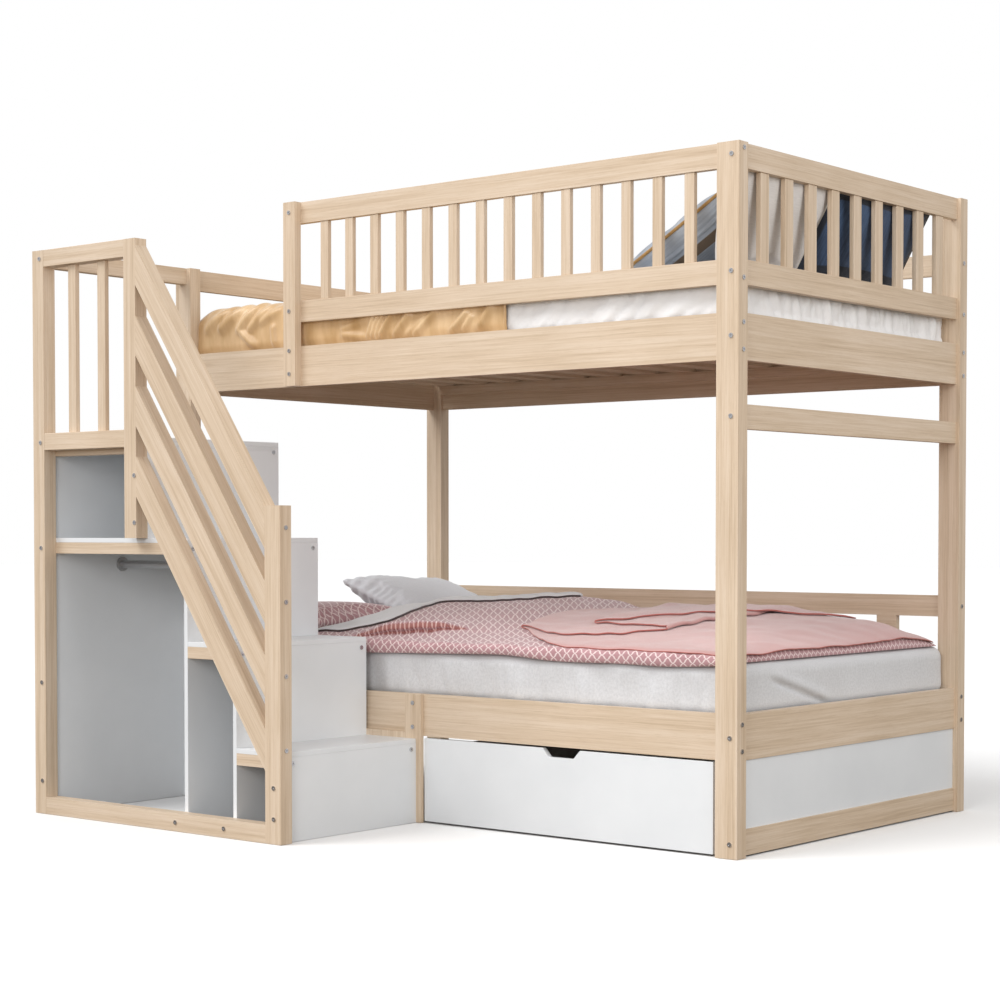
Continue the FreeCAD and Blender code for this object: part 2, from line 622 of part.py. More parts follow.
def make_stair_guard():
    """Posts, rails and slats of the stair's front guard."""
    deep = ("stair_front", "carcass_front")
    left_post_in = "left + stair_post_width"
    mid_post_left = "riser_4 - stair_post_width"
    wood("stair_post_left", ("left", left_post_in), deep, ("0", "left_post_height"))
    wood("stair_post_mid", (mid_post_left, "riser_4"), deep, ("shelf_top", "left_post_height"))
    wood("stair_post_right", ("right_post_left", "stair_right"), deep, ("0", "right_post_height"))
    between = (left_post_in, mid_post_left)
    top_low, low_top = "left_post_height - stair_rail_height", "stair_rail_low + stair_rail_height"
    group("stair_guard_rails", [board("stair_top_rail", between, deep, (top_low, "left_post_height")),
                                board("stair_low_rail", between, deep, ("stair_rail_low", low_top))])
    gap = f"(({mid_post_left}) - ({left_post_in}) + stair_slat_width) / (stair_slat_count + 1)"
    count = int(number("stair_slat_count"))
    upright_slats("stair_guard_slats", count,
                  spread_from(f"(({left_post_in}) + ({mid_post_left})) / 2", gap, count),
                  "stair_slat_width", "stair_front + stair_post_depth / 2", (low_top, top_low), True)
    wood("stair_bottom_rail", (left_post_in, "right_post_left"), deep, ("0", "stair_rail_height"))
    link_half = "link_rail_thick / 2"
    wood("stair_link_rail", (f"panel_mid - {link_half}", f"panel_mid + {link_half}"),
         ("carcass_front", "front"), (top_low, "left_post_height"))

    slants = []
    outline = [("0", "slant_rise"), ("slant_run", "0"), ("slant_run", "slant_upright"),
               ("0", "slant_rise + slant_upright")]
    for step in range(int(number("slant_count"))):
        body = prism(f"slant_{step + 1}_blank", outline, "stair_post_depth")
        move_to(body, "riser_4", "stair_front", f"slant_right_top - slant_upright - {step} * slant_pitch")
        slants.append(drilled(f"slant_{step + 1}", body))
    group("stair_slanted_rails", slants)


def make_stair_carcass():
    """White boards of the stair unit and the battens under its treads."""
    deep = ("carcass_front", "front")
    wood("stair_left_panel", ("panel_left", "panel_right"), deep, ("0", "platform_low"))
    heights = {"riser_1": ("0", "tread_1_low"), "riser_2": ("0", "tread_2_low"),
               "riser_3": ("0", "shelf_low"), "riser_4": ("shelf_top", "platform_low")}
    group("stair_risers", [piece(riser, (f"{riser} - board_thick", riser), deep, height)
                           for riser, height in heights.items()])
    group("stair_treads", [board("tread_1", ("riser_2", "riser_1"), deep, ("tread_1_low", "tread_1_top")),
                           board("tread_2", ("riser_3", "riser_2"), deep, ("tread_2_low", "tread_2_top"))])
    wood("stair_shelf", ("panel_right", "riser_3"), deep, ("shelf_low", "shelf_top"))
    wood("stair_platform", ("panel_left", "riser_4"), deep, ("platform_low", "platform_top"))

    bays = [("1", ("riser_2", "riser_1 - board_thick"), "0", "tread_1_low"),
            ("2", ("riser_3", "riser_2 - board_thick"), "0", "tread_2_low"),
            ("3", ("panel_right", "riser_3 - board_thick"), "0", "shelf_low"),
            ("4", ("panel_right", "riser_4 - board_thick"), "shelf_top", "platform_low")]
    battens, panels = [], []
    for step, x, floor, low in bays:
        height = (f"{low} - tread_batten_height", low)
        for side, y in (("fore", ("carcass_front", "carcass_front + tread_batten_depth")),
                        ("rear", ("front - tread_batten_depth", "front"))):
            battens.append(piece(f"{side}_batten_{step}", x, y, height))
        panels.append(board(f"back_panel_{step}", x, ("front - back_panel_thick", "front"),
                            (floor, height[0])))
    group("stair_tread_battens", battens)
    group("stair_back_panels", panels)


def make_hang_rail():
    """Round rail with a flange at each end, between the left panel and the third riser."""
    middle = "(carcass_front + front) / 2"
    height = "shelf_low - hang_rail_drop"
    parts = [("hang_bar", "hang_rail_diameter", "riser_3 - board_thick - panel_right", "panel_right"),
             ("hang_flange_1", "hang_flange_diameter", "hang_flange_thick", "panel_right"),
             ("hang_flange_2", "hang_flange_diameter", "hang_flange_thick",
              "riser_3 - board_thick - hang_flange_thick")]
    rounds = []
    for name, diameter, length, start in parts:
        bar = round_bar(name, diameter, length)
        move_to(bar, start, middle, height)
        rounds.append(bar)
    keep("hang_rail", fuse("hang_rail", rounds))


def make_drawer():
    width, half = "drawer_right - drawer_left", "(drawer_right - drawer_left) / 2"
    outline = [("0", "0"), (width, "0"), (width, "drawer_height"),
               (f"{half} + notch_top_width / 2", "drawer_height"),
               (f"{half} + notch_low_width / 2", "drawer_height - notch_depth"),
               (f"{half} - notch_low_width / 2", "drawer_height - notch_depth"),
               (f"{half} - notch_top_width / 2", "drawer_height"), ("0", "drawer_height")]
    body = prism("drawer_front", outline, "drawer_front_thick")
    blank = body.Tip
    rounding = body.newObject("PartDesign::Fillet", "notch_rounding")
    rounding.Base = (blank, notch_edges(blank))
    bind(rounding, "Radius", "notch_round")
    move_to(body, "drawer_left", "front_rail_out", "drawer_lift")
    keep("drawer_front", body)

    height = ("box_lift", "box_lift + box_height")
    long_way = ("drawer_back", "box_end")
    inside = ("box_left + box_wall", "box_right - box_wall")
    group("drawer_walls", [board("drawer_side_left", ("box_left", inside[0]), long_way, height),
                           board("drawer_side_right", (inside[1], "box_right"), long_way, height),
                           board("drawer_back_wall", inside, ("box_end - box_wall", "box_end"), height)])
    wood("drawer_bottom", inside, ("drawer_back", "box_end - box_wall"), ("box_lift", "box_lift + box_floor"))


def notch_edges(blank):
    """The four cross edges of the finger notch."""
    rim = number("drawer_height - notch_depth")
    top = number("drawer_height")
    middle = number("(drawer_right - drawer_left) / 2")
    names = []
    for index, edge in enumerate(blank.Shape.Edges, start=1):
        start, end = edge.Vertexes[0].Point, edge.Vertexes[-1].Point
        crosswise = abs(start.y - end.y) > NEAR and abs(start.x - end.x) < NEAR
        beside = abs(start.x - middle) < number("notch_top_width / 2") + NEAR
        if crosswise and beside and min(abs(start.z - rim), abs(start.z - top)) < NEAR:
            names.append(f"Edge{index}")
    return names


def make_castors():
    """Fixed castors under the drawer's corners: plate, two cheeks and an axle; the wheel runs on the axle."""
    housings = []
    half = "(wheel_width / 2 + cheek_play)"
    for side, x in (("left", "box_left + castor_inset"), ("right", "box_right - castor_inset")):
        for end, y in (("front", "drawer_back + castor_inset"), ("rear", "box_end - castor_inset")):
            name = f"castor_{end}_{side}"
            long_way = (f"{y} - castor_length / 2", f"{y} + castor_length / 2")
            outer = f"({half} + castor_plate)"
            under = "box_lift - castor_plate"
            wide = (f"{x} - {outer}", f"{x} + {outer}")
            parts = [board(name + "_plate", wide, long_way, (under, "box_lift"))]
            cheek_y = (f"{y} - axle_diameter", f"{y} + axle_diameter")
            cheek_z = ("wheel_diameter / 2 - axle_diameter", under)
            parts.append(board(name + "_cheek_1", (f"{x} - {outer}", f"{x} - {half}"), cheek_y, cheek_z))
            parts.append(board(name + "_cheek_2", (f"{x} + {half}", f"{x} + {outer}"), cheek_y, cheek_z))
            axle = round_bar(name + "_axle", "axle_diameter", f"2 * {outer}")
            move_to(axle, f"{x} - {outer}", y, "wheel_diameter / 2")
            parts.append(axle)
            housings.append(fuse(name, parts))
            keep(f"castor_wheel_{end}_{side}", wheel(f"wheel_{end}_{side}", x, y))
    group("castor_housings", housings)


def wheel(name, x, y):
    tyre = round_bar(name + "_tyre", "wheel_diameter", "wheel_width")
    bore = round_bar(name + "_bore", "axle_diameter + 2 * axle_play", "wheel_width")
    for bar in (tyre, bore):
        move_to(bar, f"{x} - wheel_width / 2", y, "wheel_diameter / 2")
    turned = doc.addObject("Part::Cut", name)
    turned.Base = tyre
    turned.Tool = bore
    return turned


def make_bolts():
    """All bolts in one node."""
    shapes = []
    for head, direction, length, pieces in bolts:
        shape = bolt_shape(length)
        shape.Placement = Placement(head, Rotation(Vector(0, 0, 1), direction))
        shapes.append(shape)
    solid_node("bolts", Part.makeCompound(shapes))


def closed(*edges):
    """A face inside lines and arcs."""
    return Part.Face(Part.Wire(Part.__sortEdges__(list(edges))))


def line(start, end):
    return Part.LineSegment(start, end).toShape()


def arc(start, middle, end):
    return Part.Arc(start, middle, end).toShape()


def crowned_section(width, low_edge, low, high_edge, high):
    """A section in Y and Z, as wide as told, with a crown above and a flat or crowned underside."""
    half = width / 2
    corners = [Vector(0, -half, low_edge), Vector(0, half, low_edge), Vector(0, half, high_edge),
               Vector(0, -half, high_edge)]
    if abs(low - low_edge) < NEAR:
        bottom = line(corners[0], corners[1])
    else:
        bottom = arc(corners[0], Vector(0, 0, low), corners[1])
    return closed(bottom, line(corners[1], corners[2]), arc(corners[2], Vector(0, 0, high), corners[3]),
                  line(corners[3], corners[0]))


def cushion(x_size, y_size, low_edge, low, high_edge, high, waist, slumps=(0, 0)):
    """A crowned cushion with drawn-in sides. Slumps move the two corners of its +X edge along +Y."""
    a, b = x_size / 2, y_size / 2
    near, far = slumps
    ends = []
    for x, start, end in ((-a, -b, b), (a, near - b, far + b)):
        section = crowned_section(end - start, low_edge, low, high_edge, high)
        section.translate(Vector(x, (start + end) / 2, 0))
        ends.append(section.OuterWire)
    along = crowned_section(x_size, low_edge, low, high_edge, high)
    along.rotate(Vector(), Vector(0, 0, 1), 90)
    along.translate(Vector(0, -b, 0))
    corners = [Vector(-a, -b, low), Vector(a, near - b, low), Vector(a, far + b, low), Vector(-a, b, low)]
    inward = [Vector(0, waist, 0), Vector(-waist, 0, 0), Vector(0, -waist, 0), Vector(waist, 0, 0)]
    sides = []
    for corner, following, draw in zip(corners, corners[1:] + corners[:1], inward):
        sides.append(arc(corner, (corner + following) / 2 + draw, following))
    plan = closed(*sides).extrude(Vector(0, 0, high - low))
    shape = Part.makeLoft(ends, True, True).common(along.extrude(Vector(0, y_size + far, 0)))
    return only_solid(shape.common(plan))


def only_solid(shape):
    return shape.Solids[0] if len(shape.Solids) == 1 else shape


def make_mattresses():
    for level in ("upper", "lower"):
        blank = board(f"{level}_mattress_blank", ("mattress_left", "mattress_right"),
                      ("mattress_front", "mattress_back"), (f"{level}_bed_low", f"{level}_bed_top"))
        doc.recompute()
        rounded = doc.addObject("Part::Fillet", f"{level}_mattress")
        rounded.Base = blank
        radius = number("mattress_round")
        rounded.Edges = [(index, radius, radius) for index in range(1, 13)]
        keep(f"{level}_mattress", rounded)


def rippled_edge(left, right, back, thick, fold, wave):
    """A strip in plan: straight at the back, with a row of folds in front."""
    count = max(1, round((right - left) / wave))
    step = (right - left) / count
    front = back - thick
    corners = [Vector(right, front, 0), Vector(right, back, 0), Vector(left, back, 0), Vector(left, front, 0)]
    edges = [line(corner, following) for corner, following in zip(corners, corners[1:])]
    for index in range(count):
        start = Vector(left + index * step, front, 0)
        crest = start + Vector(step / 2, -fold, 0)
        edges.append(arc(start, crest, start + Vector(step, 0, 0)))
    return closed(*edges)


def plan_slab(points, low, thick):
    """A flat layer with the given outline."""
    corners = [Vector(x, y, low) for x, y in points]
    return Part.Face(Part.makePolygon(corners + corners[:1])).extrude(Vector(0, 0, thick))


def make_throw():
    """The throw over the left of the upper bed, with its hanging front edge in folds."""
    gap = number("seat_gap")
    left, right = number("mattress_left + mattress_round"), number("mattress_left + throw_length")
    front, back = number("mattress_front"), number("mattress_back - mattress_round")
    top, thick = number("upper_bed_top"), number("throw_thick")
    hem = number("upper_rail_top - throw_hem")
    strip = rippled_edge(left, right, front - gap, number("throw_drop_thick"), number("throw_fold"),
                         number("throw_wave"))
    hanging = strip.extrude(Vector(0, 0, top + thick - hem))
    hanging.translate(Vector(0, 0, hem))
    flat = plan_slab([(left, front - gap), (right, front - gap), (right, back), (left, back)], top, thick)
    solid_node("upper_throw", only_solid(hanging.fuse(flat).removeSplitter()))


def duvet_section(x, crest_thick, low, lift):
    """The duvet's outline in Y and Z from a level up to its top, which a lift raises."""
    front, back = number("mattress_front - seat_gap"), number("mattress_back - mattress_round")
    heap, top = number("duvet_heap"), number("lower_bed_top") + lift
    crest = back - heap
    front_low, back_low = Vector(x, front, low), Vector(x, back, low)
    front_top = Vector(x, front, top + number("duvet_front_thick"))
    crest_top = Vector(x, crest, top + crest_thick)
    slanting = math.sin(math.pi / 4)
    bulge = Vector(x, crest + heap * slanting, low + (crest_top.z - low) * slanting)
    return closed(line(front_low, front_top), line(front_top, crest_top), arc(crest_top, bulge, back_low),
                  line(back_low, front_low)).OuterWire


def on_duvet(points, low, lift):
    """A layer with the given outline in plan, between a level and the duvet's top moved up by a lift."""
    head = duvet_section(number("mattress_left + duvet_head"), number("duvet_head_thick"), low, lift)
    foot = duvet_section(number("mattress_right - mattress_round"), number("duvet_foot_thick"), low, lift)
    tall = number("lower_bed_top + 2 * duvet_head_thick") - low
    return Part.makeLoft([head, foot], True, True).common(plan_slab(points, low, tall))


def make_duvet():
    """Duvet heaped towards the head, with a turned-back strip there and a rippled front edge."""
    thick = number("duvet_front_thick")
    head, right = number("mattress_left + duvet_head"), number("mattress_right - mattress_round")
    front, back = number("mattress_front - seat_gap"), number("mattress_back - mattress_round")
    front_turn, back_turn = head + number("duvet_front_turn"), head + number("duvet_back_turn")
    top = number("lower_bed_top + seat_gap")
    flat = on_duvet([(head, front), (right, front), (right, back), (head, back)], top, 0)
    strip = on_duvet([(head, front), (front_turn, front), (back_turn, back), (head, back)],
                     top, number("duvet_turn_thick"))
    drop, over = number("duvet_drop"), number("duvet_over")
    edge = rippled_edge(head, right, front, over / 2, over / 2, number("duvet_wave"))
    hanging = edge.extrude(Vector(0, 0, drop))
    hanging.translate(Vector(0, 0, top + thick - drop))
    solid_node("lower_duvet", only_solid(flat.fuse([strip, hanging]).removeSplitter()))


def make_blanket():
    """Blanket on the duvet's right half, with its front part turned over."""
    thick = number("blanket_thick")
    right, top = number("mattress_right - mattress_round"), number("lower_bed_top + seat_gap")
    left = number("mattress_left + duvet_head + duvet_back_turn + blanket_gap")
    front_left, back_left = right - number("blanket_front_run"), right - number("blanket_back_run")
    front = number("mattress_front")
    back = number("mattress_back - mattress_round - blanket_margin")
    turned = front + number("blanket_turn")
    flat = on_duvet([(front_left, front), (right, front), (right, back), (back_left, back),
                     (left, (front + back) / 2)], top, thick)
    fold = on_duvet([(front_left, front), (right, front), (right, turned), (front_left, turned)],
                    top, 2 * thick)
    under = on_duvet([(left, front), (right, front), (right, back), (left, back)], top, number("seat_gap"))
    solid_node("lower_blanket", only_solid(flat.fuse(fold).cut(under).removeSplitter()))


def make_pillows():
    """Two pillows at the head of the lower bed, the grey one propped up behind the pink one."""
    width, length = number("pillow_width"), number("pillow_length")
    edge, waist = number("pillow_edge"), number("pillow_waist")
    middle = number("mattress_left + mattress_round") + width / 2
    front, floor = number("mattress_front + mattress_round + pillow_margin"), number("lower_bed_top")
    pink = cushion(width, length, 0, 0, edge, number("pillow_height"), waist)
    pink.translate(Vector(middle, front + length / 2, floor))
    solid_node("lower_pillow_pink", pink)

    half = number("grey_pillow_thick / 2")
    grey = cushion(width, length, -edge / 2, -half, edge / 2, half, waist)
    grey.rotate(Vector(), Vector(1, 0, 0), -number("grey_pillow_front_angle"))
    grey.rotate(Vector(), Vector(0, 1, 0), number("grey_pillow_head_angle"))
    tips = grey.optimalBoundingBox(False)
    start = front + length + number("pillow_gap")
    centre = middle + number("grey_pillow_shift")
    grey.translate(Vector(centre, start - tips.YMin, floor + number("pillow_height + seat_gap") - tips.ZMin))
    bed = Part.makeBox(width, 2 * length, half, Vector(centre - width / 2, start, floor - half))
    push_against(grey, pink.fuse(bed), Vector(0, 0, -1), half)
    solid_node("lower_pillow_grey", grey)


def leaning(width, height, lean, slumps=(0, 0)):
    """A cushion stood on its edge and leant back towards +X, its top corners slumped towards +Y."""
    half, edge = number("cushion_thick / 2"), number("cushion_edge / 2")
    shape = cushion(height, width, -edge, -half, edge, half, number("cushion_waist"), slumps)
    shape.rotate(Vector(), Vector(0, 1, 0), lean - 90)
    return shape


def seat(shape, right, front):
    """Move a piece to a place on the upper bed, by the tips of its shape."""
    tips = shape.optimalBoundingBox(False)
    floor = number("upper_bed_top + seat_gap")
    shape.translate(Vector(right - tips.XMax, front - tips.YMin, floor - tips.ZMin))


def push_against(shape, other, direction, stride):
    """Push a piece until it nearly meets another: shorter strides each time it would go in."""
    gap = number("seat_gap")
    while stride > gap / 2:
        shape.translate(direction * stride)
        if shape.common(other).Volume > 0:
            shape.translate(direction * -stride)
            stride /= 2
    shape.translate(direction * (-gap / 2))


def make_cushions():
    """Two cushions that lean on the right guard, and one that leans on the first of them."""
    height, lean, slump = number("cushion_height"), number("cushion_angle"), number("cushion_slump")
    front = number("mattress_front + cushion_margin")
    guard = number("right_rail_in - seat_gap")
    grey = leaning(number("grey_width"), height, lean, (0, slump))
    seat(grey, guard, front)
    solid_node("upper_cushion_grey", grey)
    navy = leaning(number("navy_width"), height, lean, (slump, slump))
    seat(navy, guard, front + number("grey_width + seat_gap"))
    solid_node("upper_cushion_navy", navy)
    denim = leaning(number("denim_width"), number("denim_height"), number("denim_angle"))
    seat(denim, grey.BoundBox.XMin, front + number("denim_margin"))
    push_against(denim, grey, Vector(1, 0, 0), number("cushion_thick / 2"))
    solid_node("upper_cushion_denim", denim)


def check_document():
    """Every object is sound and every node is a valid solid or group of solids."""
    doc.recompute()
    faulty = [item.Name for item in doc.Objects if "Invalid" in item.State or "Error" in item.State]
    for label, thing in nodes.items():
        if thing.Shape.isNull() or not thing.Shape.isValid() or not thing.Shape.Solids:
            faulty.append(label)
    if faulty:
        raise RuntimeError("faulty: " + ", ".join(faulty))


plan_bolts()
make_posts()
make_bed_rails()
make_bed_slats()
make_upper_guards()
make_lower_bed()
make_stair_guard()
make_stair_carcass()
make_hang_rail()
make_drawer()
make_castors()
make_bolts()
make_mattresses()
make_throw()
make_duvet()
make_blanket()
make_pillows()
make_cushions()
check_document()

os.makedirs("parts", exist_ok=True)
for label, thing in nodes.items():
    thing.Shape.exportStep(os.path.join("parts", label + ".step"))
print(len(nodes), "nodes")
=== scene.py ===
import math

import bpy
from mathutils import Matrix, Vector, noise


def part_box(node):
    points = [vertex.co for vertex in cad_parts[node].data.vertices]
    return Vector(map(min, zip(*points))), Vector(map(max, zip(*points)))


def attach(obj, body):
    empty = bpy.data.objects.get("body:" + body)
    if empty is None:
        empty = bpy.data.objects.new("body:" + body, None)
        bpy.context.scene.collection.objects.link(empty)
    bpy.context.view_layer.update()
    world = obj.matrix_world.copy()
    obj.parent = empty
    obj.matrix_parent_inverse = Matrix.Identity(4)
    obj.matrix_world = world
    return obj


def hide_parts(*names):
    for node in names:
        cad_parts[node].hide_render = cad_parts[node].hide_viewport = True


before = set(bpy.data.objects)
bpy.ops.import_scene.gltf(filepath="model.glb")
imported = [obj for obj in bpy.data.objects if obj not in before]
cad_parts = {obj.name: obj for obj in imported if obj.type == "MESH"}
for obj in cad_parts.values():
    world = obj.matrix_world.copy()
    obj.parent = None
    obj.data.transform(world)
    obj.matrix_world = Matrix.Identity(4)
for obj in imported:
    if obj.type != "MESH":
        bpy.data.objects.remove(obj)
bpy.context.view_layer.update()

ROUND_TURN = 2 * math.pi

# Grain direction of each wooden node; the slanted rails fall along the stairs.
SLANT_FALL, SLANT_RUN = 0.772, 0.540
GRAIN = {
    "x": (0, 0, 0),
    "y": (0, 0, math.pi / 2),
    "z": (0, -math.pi / 2, 0),
    "slant": (0, math.atan2(SLANT_FALL, SLANT_RUN), 0),
}
WOOD = {
    "x": ("upper_front_rail", "upper_back_rail", "lower_front_rail", "lower_back_rail", "guard_front_rails",
          "guard_back_rails", "lower_back_guard", "stair_guard_rails", "stair_bottom_rail", "slat_ledges",
          "stair_tread_battens"),
    "y": ("upper_end_rails", "lower_end_rails", "guard_right_rails", "right_mid_rail", "guard_left_rail",
          "right_bottom_rail", "stair_link_rail", "upper_bed_slats", "lower_bed_slats"),
    "z": ("post_front_right", "post_back_right", "post_front_left", "post_back_left", "guard_front_slats",
          "guard_front_batten", "guard_right_slats", "lower_batten", "stair_post_left", "stair_post_mid",
          "stair_post_right", "stair_guard_slats"),
    "slant": ("stair_slanted_rails",),
}
BOARDS = ("right_panel", "stair_left_panel", "stair_risers", "stair_treads", "stair_shelf", "stair_platform",
          "stair_back_panels", "drawer_front", "drawer_walls", "drawer_bottom")
WHEELS = ["castor_wheel_" + end + side for end in ("front", "rear") for side in ("_left", "_right")]


# Shader building

def new_material(name):
    made = bpy.data.materials.new(name)
    made.use_nodes = True
    return made


def node(tree, kind, inputs=None, **settings):
    """A shader node with its settings and with links or values on its inputs."""
    made = tree.nodes.new("ShaderNode" + kind)
    for key, value in settings.items():
        setattr(made, key, value)
    for key, value in (inputs or {}).items():
        if isinstance(value, bpy.types.NodeSocket):
            tree.links.new(value, made.inputs[key])
        else:
            made.inputs[key].default_value = value
    return made


def tree_of(*values):
    """The node tree of the first link among some values."""
    return next(value.id_data for value in values if isinstance(value, bpy.types.NodeSocket))


def calc(operation, first, second=0.0, third=0.0):
    """One step of arithmetic."""
    inputs = {0: first, 1: second, 2: third}
    return node(tree_of(first, second), "Math", inputs, operation=operation).outputs[0]


def weighed(first, share, second):
    """Two factors added up: the first by its share, the second by the rest."""
    return calc("MULTIPLY_ADD", first, share, calc("MULTIPLY", second, 1.0 - share))


def dimmed(colour, share):
    return tuple(share * value for value in colour)


def clouds(place, scale, detail=3.0, rough=0.55, output="Fac"):
    """Noise with its own scale along each axis, in cycles per metre."""
    tree = place.id_data
    spread = node(tree, "VectorMath", {0: place, 1: scale}, operation="MULTIPLY").outputs[0]
    inputs = {"Vector": spread, "Scale": 1.0, "Detail": detail, "Roughness": rough}
    return node(tree, "TexNoise", inputs).outputs[output]


def split(place):
    """A place's parts along its axes."""
    return node(place.id_data, "SeparateXYZ", {0: place}).outputs


def ramp(factor, *stops):
    """Colours over a factor; each stop is a place and a colour."""
    made = node(factor.id_data, "ValToRGB", {"Fac": factor})
    band = made.color_ramp
    while len(band.elements) < len(stops):
        band.elements.new(0.5)
    for element, (place, colour) in zip(band.elements, stops):
        element.position = place
        element.color = (*colour, 1.0)
    return made.outputs["Color"]


def levels(factor, low, high, start=0.0, end=1.0):
    """A factor spread from one range to another."""
    inputs = {"Value": factor, "From Min": low, "From Max": high, "To Min": start, "To Max": end}
    return node(factor.id_data, "MapRange", inputs).outputs["Result"]


def mixed(factor, first, second, blend="MIX"):
    """Two colours mixed by a factor."""
    first, second = ((*value, 1.0) if isinstance(value, tuple) else value for value in (first, second))
    inputs = {0: factor, 6: first, 7: second}
    tree = tree_of(factor, first, second)
    return node(tree, "Mix", inputs, data_type="RGBA", blend_type=blend).outputs[2]


def coat(made, colour, rough, relief, strength, depth, even=None):
    """Give a material its colour, its roughness, a fine relief and what is even all over it."""
    tree = made.node_tree
    shader = tree.nodes["Principled BSDF"]
    bump = node(tree, "Bump", {"Height": relief, "Strength": strength, "Distance": depth})
    for name, value in (("Base Color", colour), ("Roughness", rough), ("Normal", bump.outputs["Normal"])):
        tree.links.new(value, shader.inputs[name])
    for name, value in (even or {}).items():
        shader.inputs[name].default_value = value
    return made


def object_place(made):
    return node(made.node_tree, "TexCoord").outputs["Object"]


def cloth_place(made):
    """Place on the cloth as it was cut, in metres."""
    spot = node(made.node_tree, "Attribute", attribute_name="cloth", attribute_type="GEOMETRY")
    return spot.outputs["Vector"]


def oak(axis):
    """Pale straight-grained oak under a matt lacquer."""
    made = new_material("oak_" + axis)
    place = object_place(made)
    grain_place = node(made.node_tree, "Mapping", {"Vector": place, "Rotation": GRAIN[axis]},
                       vector_type="TEXTURE").outputs[0]
    wander = clouds(grain_place, (0.8, 6, 6), 2.0, output="Color")
    bent = node(made.node_tree, "VectorMath", {0: wander, 1: (0.0, 0.012, 0.012), 2: grain_place},
                operation="MULTIPLY_ADD").outputs[0]
    bands = clouds(bent, (0.7, 62, 62), 3.0)
    fibres = clouds(bent, (5, 270, 270), 5.0, 0.65)
    pores = clouds(bent, (26, 900, 900), 2.0)
    grain = weighed(fibres, 0.55, bands)
    tint = ramp(grain, (0.36, (0.575, 0.437, 0.305)), (0.48, (0.68, 0.537, 0.395)),
                (0.60, (0.75, 0.615, 0.482)))
    dots = levels(pores, 0.60, 0.72)
    tint = mixed(calc("MULTIPLY", dots, 0.35), tint, (0.46, 0.32, 0.19))
    board = clouds(place, (3.1, 3.1, 3.1), 1.0)
    tone = ramp(board, (0.3, (0.93, 0.92, 0.90)), (0.7, (1.0, 1.0, 1.0)))
    relief = calc("SUBTRACT", grain, calc("MULTIPLY", dots, 0.4))
    return coat(made, mixed(1.0, tint, tone, "MULTIPLY"), levels(grain, 0.35, 0.65, 0.58, 0.44), relief,
                0.3, 0.0006)


def white_board():
    """White satin lacquer on board, with a fine roller texture and slightly worn patches."""
    made = new_material("white_board")
    place = object_place(made)
    patches = clouds(place, (4, 4, 4), 4.0)
    tint = ramp(patches, (0.3, (0.765, 0.79, 0.815)), (0.7, (0.815, 0.837, 0.86)))
    stipple = clouds(place, (750, 750, 750), 2.0)
    return coat(made, tint, levels(patches, 0.3, 0.7, 0.32, 0.42), stipple, 0.12, 0.0004)


def metal(name, colour, rough, brushed):
    """Bare or plated metal with fine marks along X."""
    made = new_material(name)
    marks = clouds(object_place(made), brushed, 4.0)
    tint = ramp(marks, (0.3, dimmed(colour, 0.8)), (0.7, colour))
    return coat(made, tint, levels(marks, 0.3, 0.7, rough, rough + 0.15), marks, 0.08, 0.0002,
                {"Metallic": 1.0})


def rubber():
    """Dark tyre with scuffs."""
    made = new_material("castor_rubber")
    scuffs = clouds(object_place(made), (160, 160, 160), 5.0, 0.7)
    tint = ramp(scuffs, (0.4, (0.035, 0.035, 0.038)), (0.75, (0.09, 0.09, 0.092)))
    return coat(made, tint, levels(scuffs, 0.3, 0.7, 0.55, 0.8), scuffs, 0.3, 0.0005)


def threads(place, pitch):
    """Height of a plain weave with the given thread pitch."""
    axes = split(place)
    turns = [calc("MULTIPLY", axes[axis], ROUND_TURN / pitch) for axis in (0, 1)]
    warp, weft = (calc("SINE", turn) for turn in turns)
    return calc("MULTIPLY_ADD", calc("MULTIPLY", warp, weft), 0.5, 0.5)


def woven(name, colour, pitch=0.0014, shade=0.82, rough=0.85, sheen=0.25, heather=0.0):
    """Plain woven cloth: threads, slubs along them, a slow unevenness of the dye and darker flecks."""
    made = new_material(name)
    place = cloth_place(made)
    weave = threads(place, pitch)
    slub = clouds(place, (40, 600, 40), 3.0)
    mark = weighed(slub, 0.5, clouds(place, (9, 9, 9), 4.0))
    dark = dimmed(colour, shade)
    tint = ramp(mark, (0.35, dark), (0.65, colour))
    if heather:
        flecks = levels(clouds(place, (150, 110, 150), 4.0, 0.7), 0.40, 0.64, 0.0, heather)
        tint = mixed(flecks, tint, dimmed(colour, 0.62))
    tint = mixed(calc("MULTIPLY", weave, 0.12), tint, dark)
    return coat(made, tint, levels(mark, 0.3, 0.7, rough, rough - 0.12), calc("ADD", weave, slub),
                0.35, 0.0005, {"Sheen Weight": sheen})


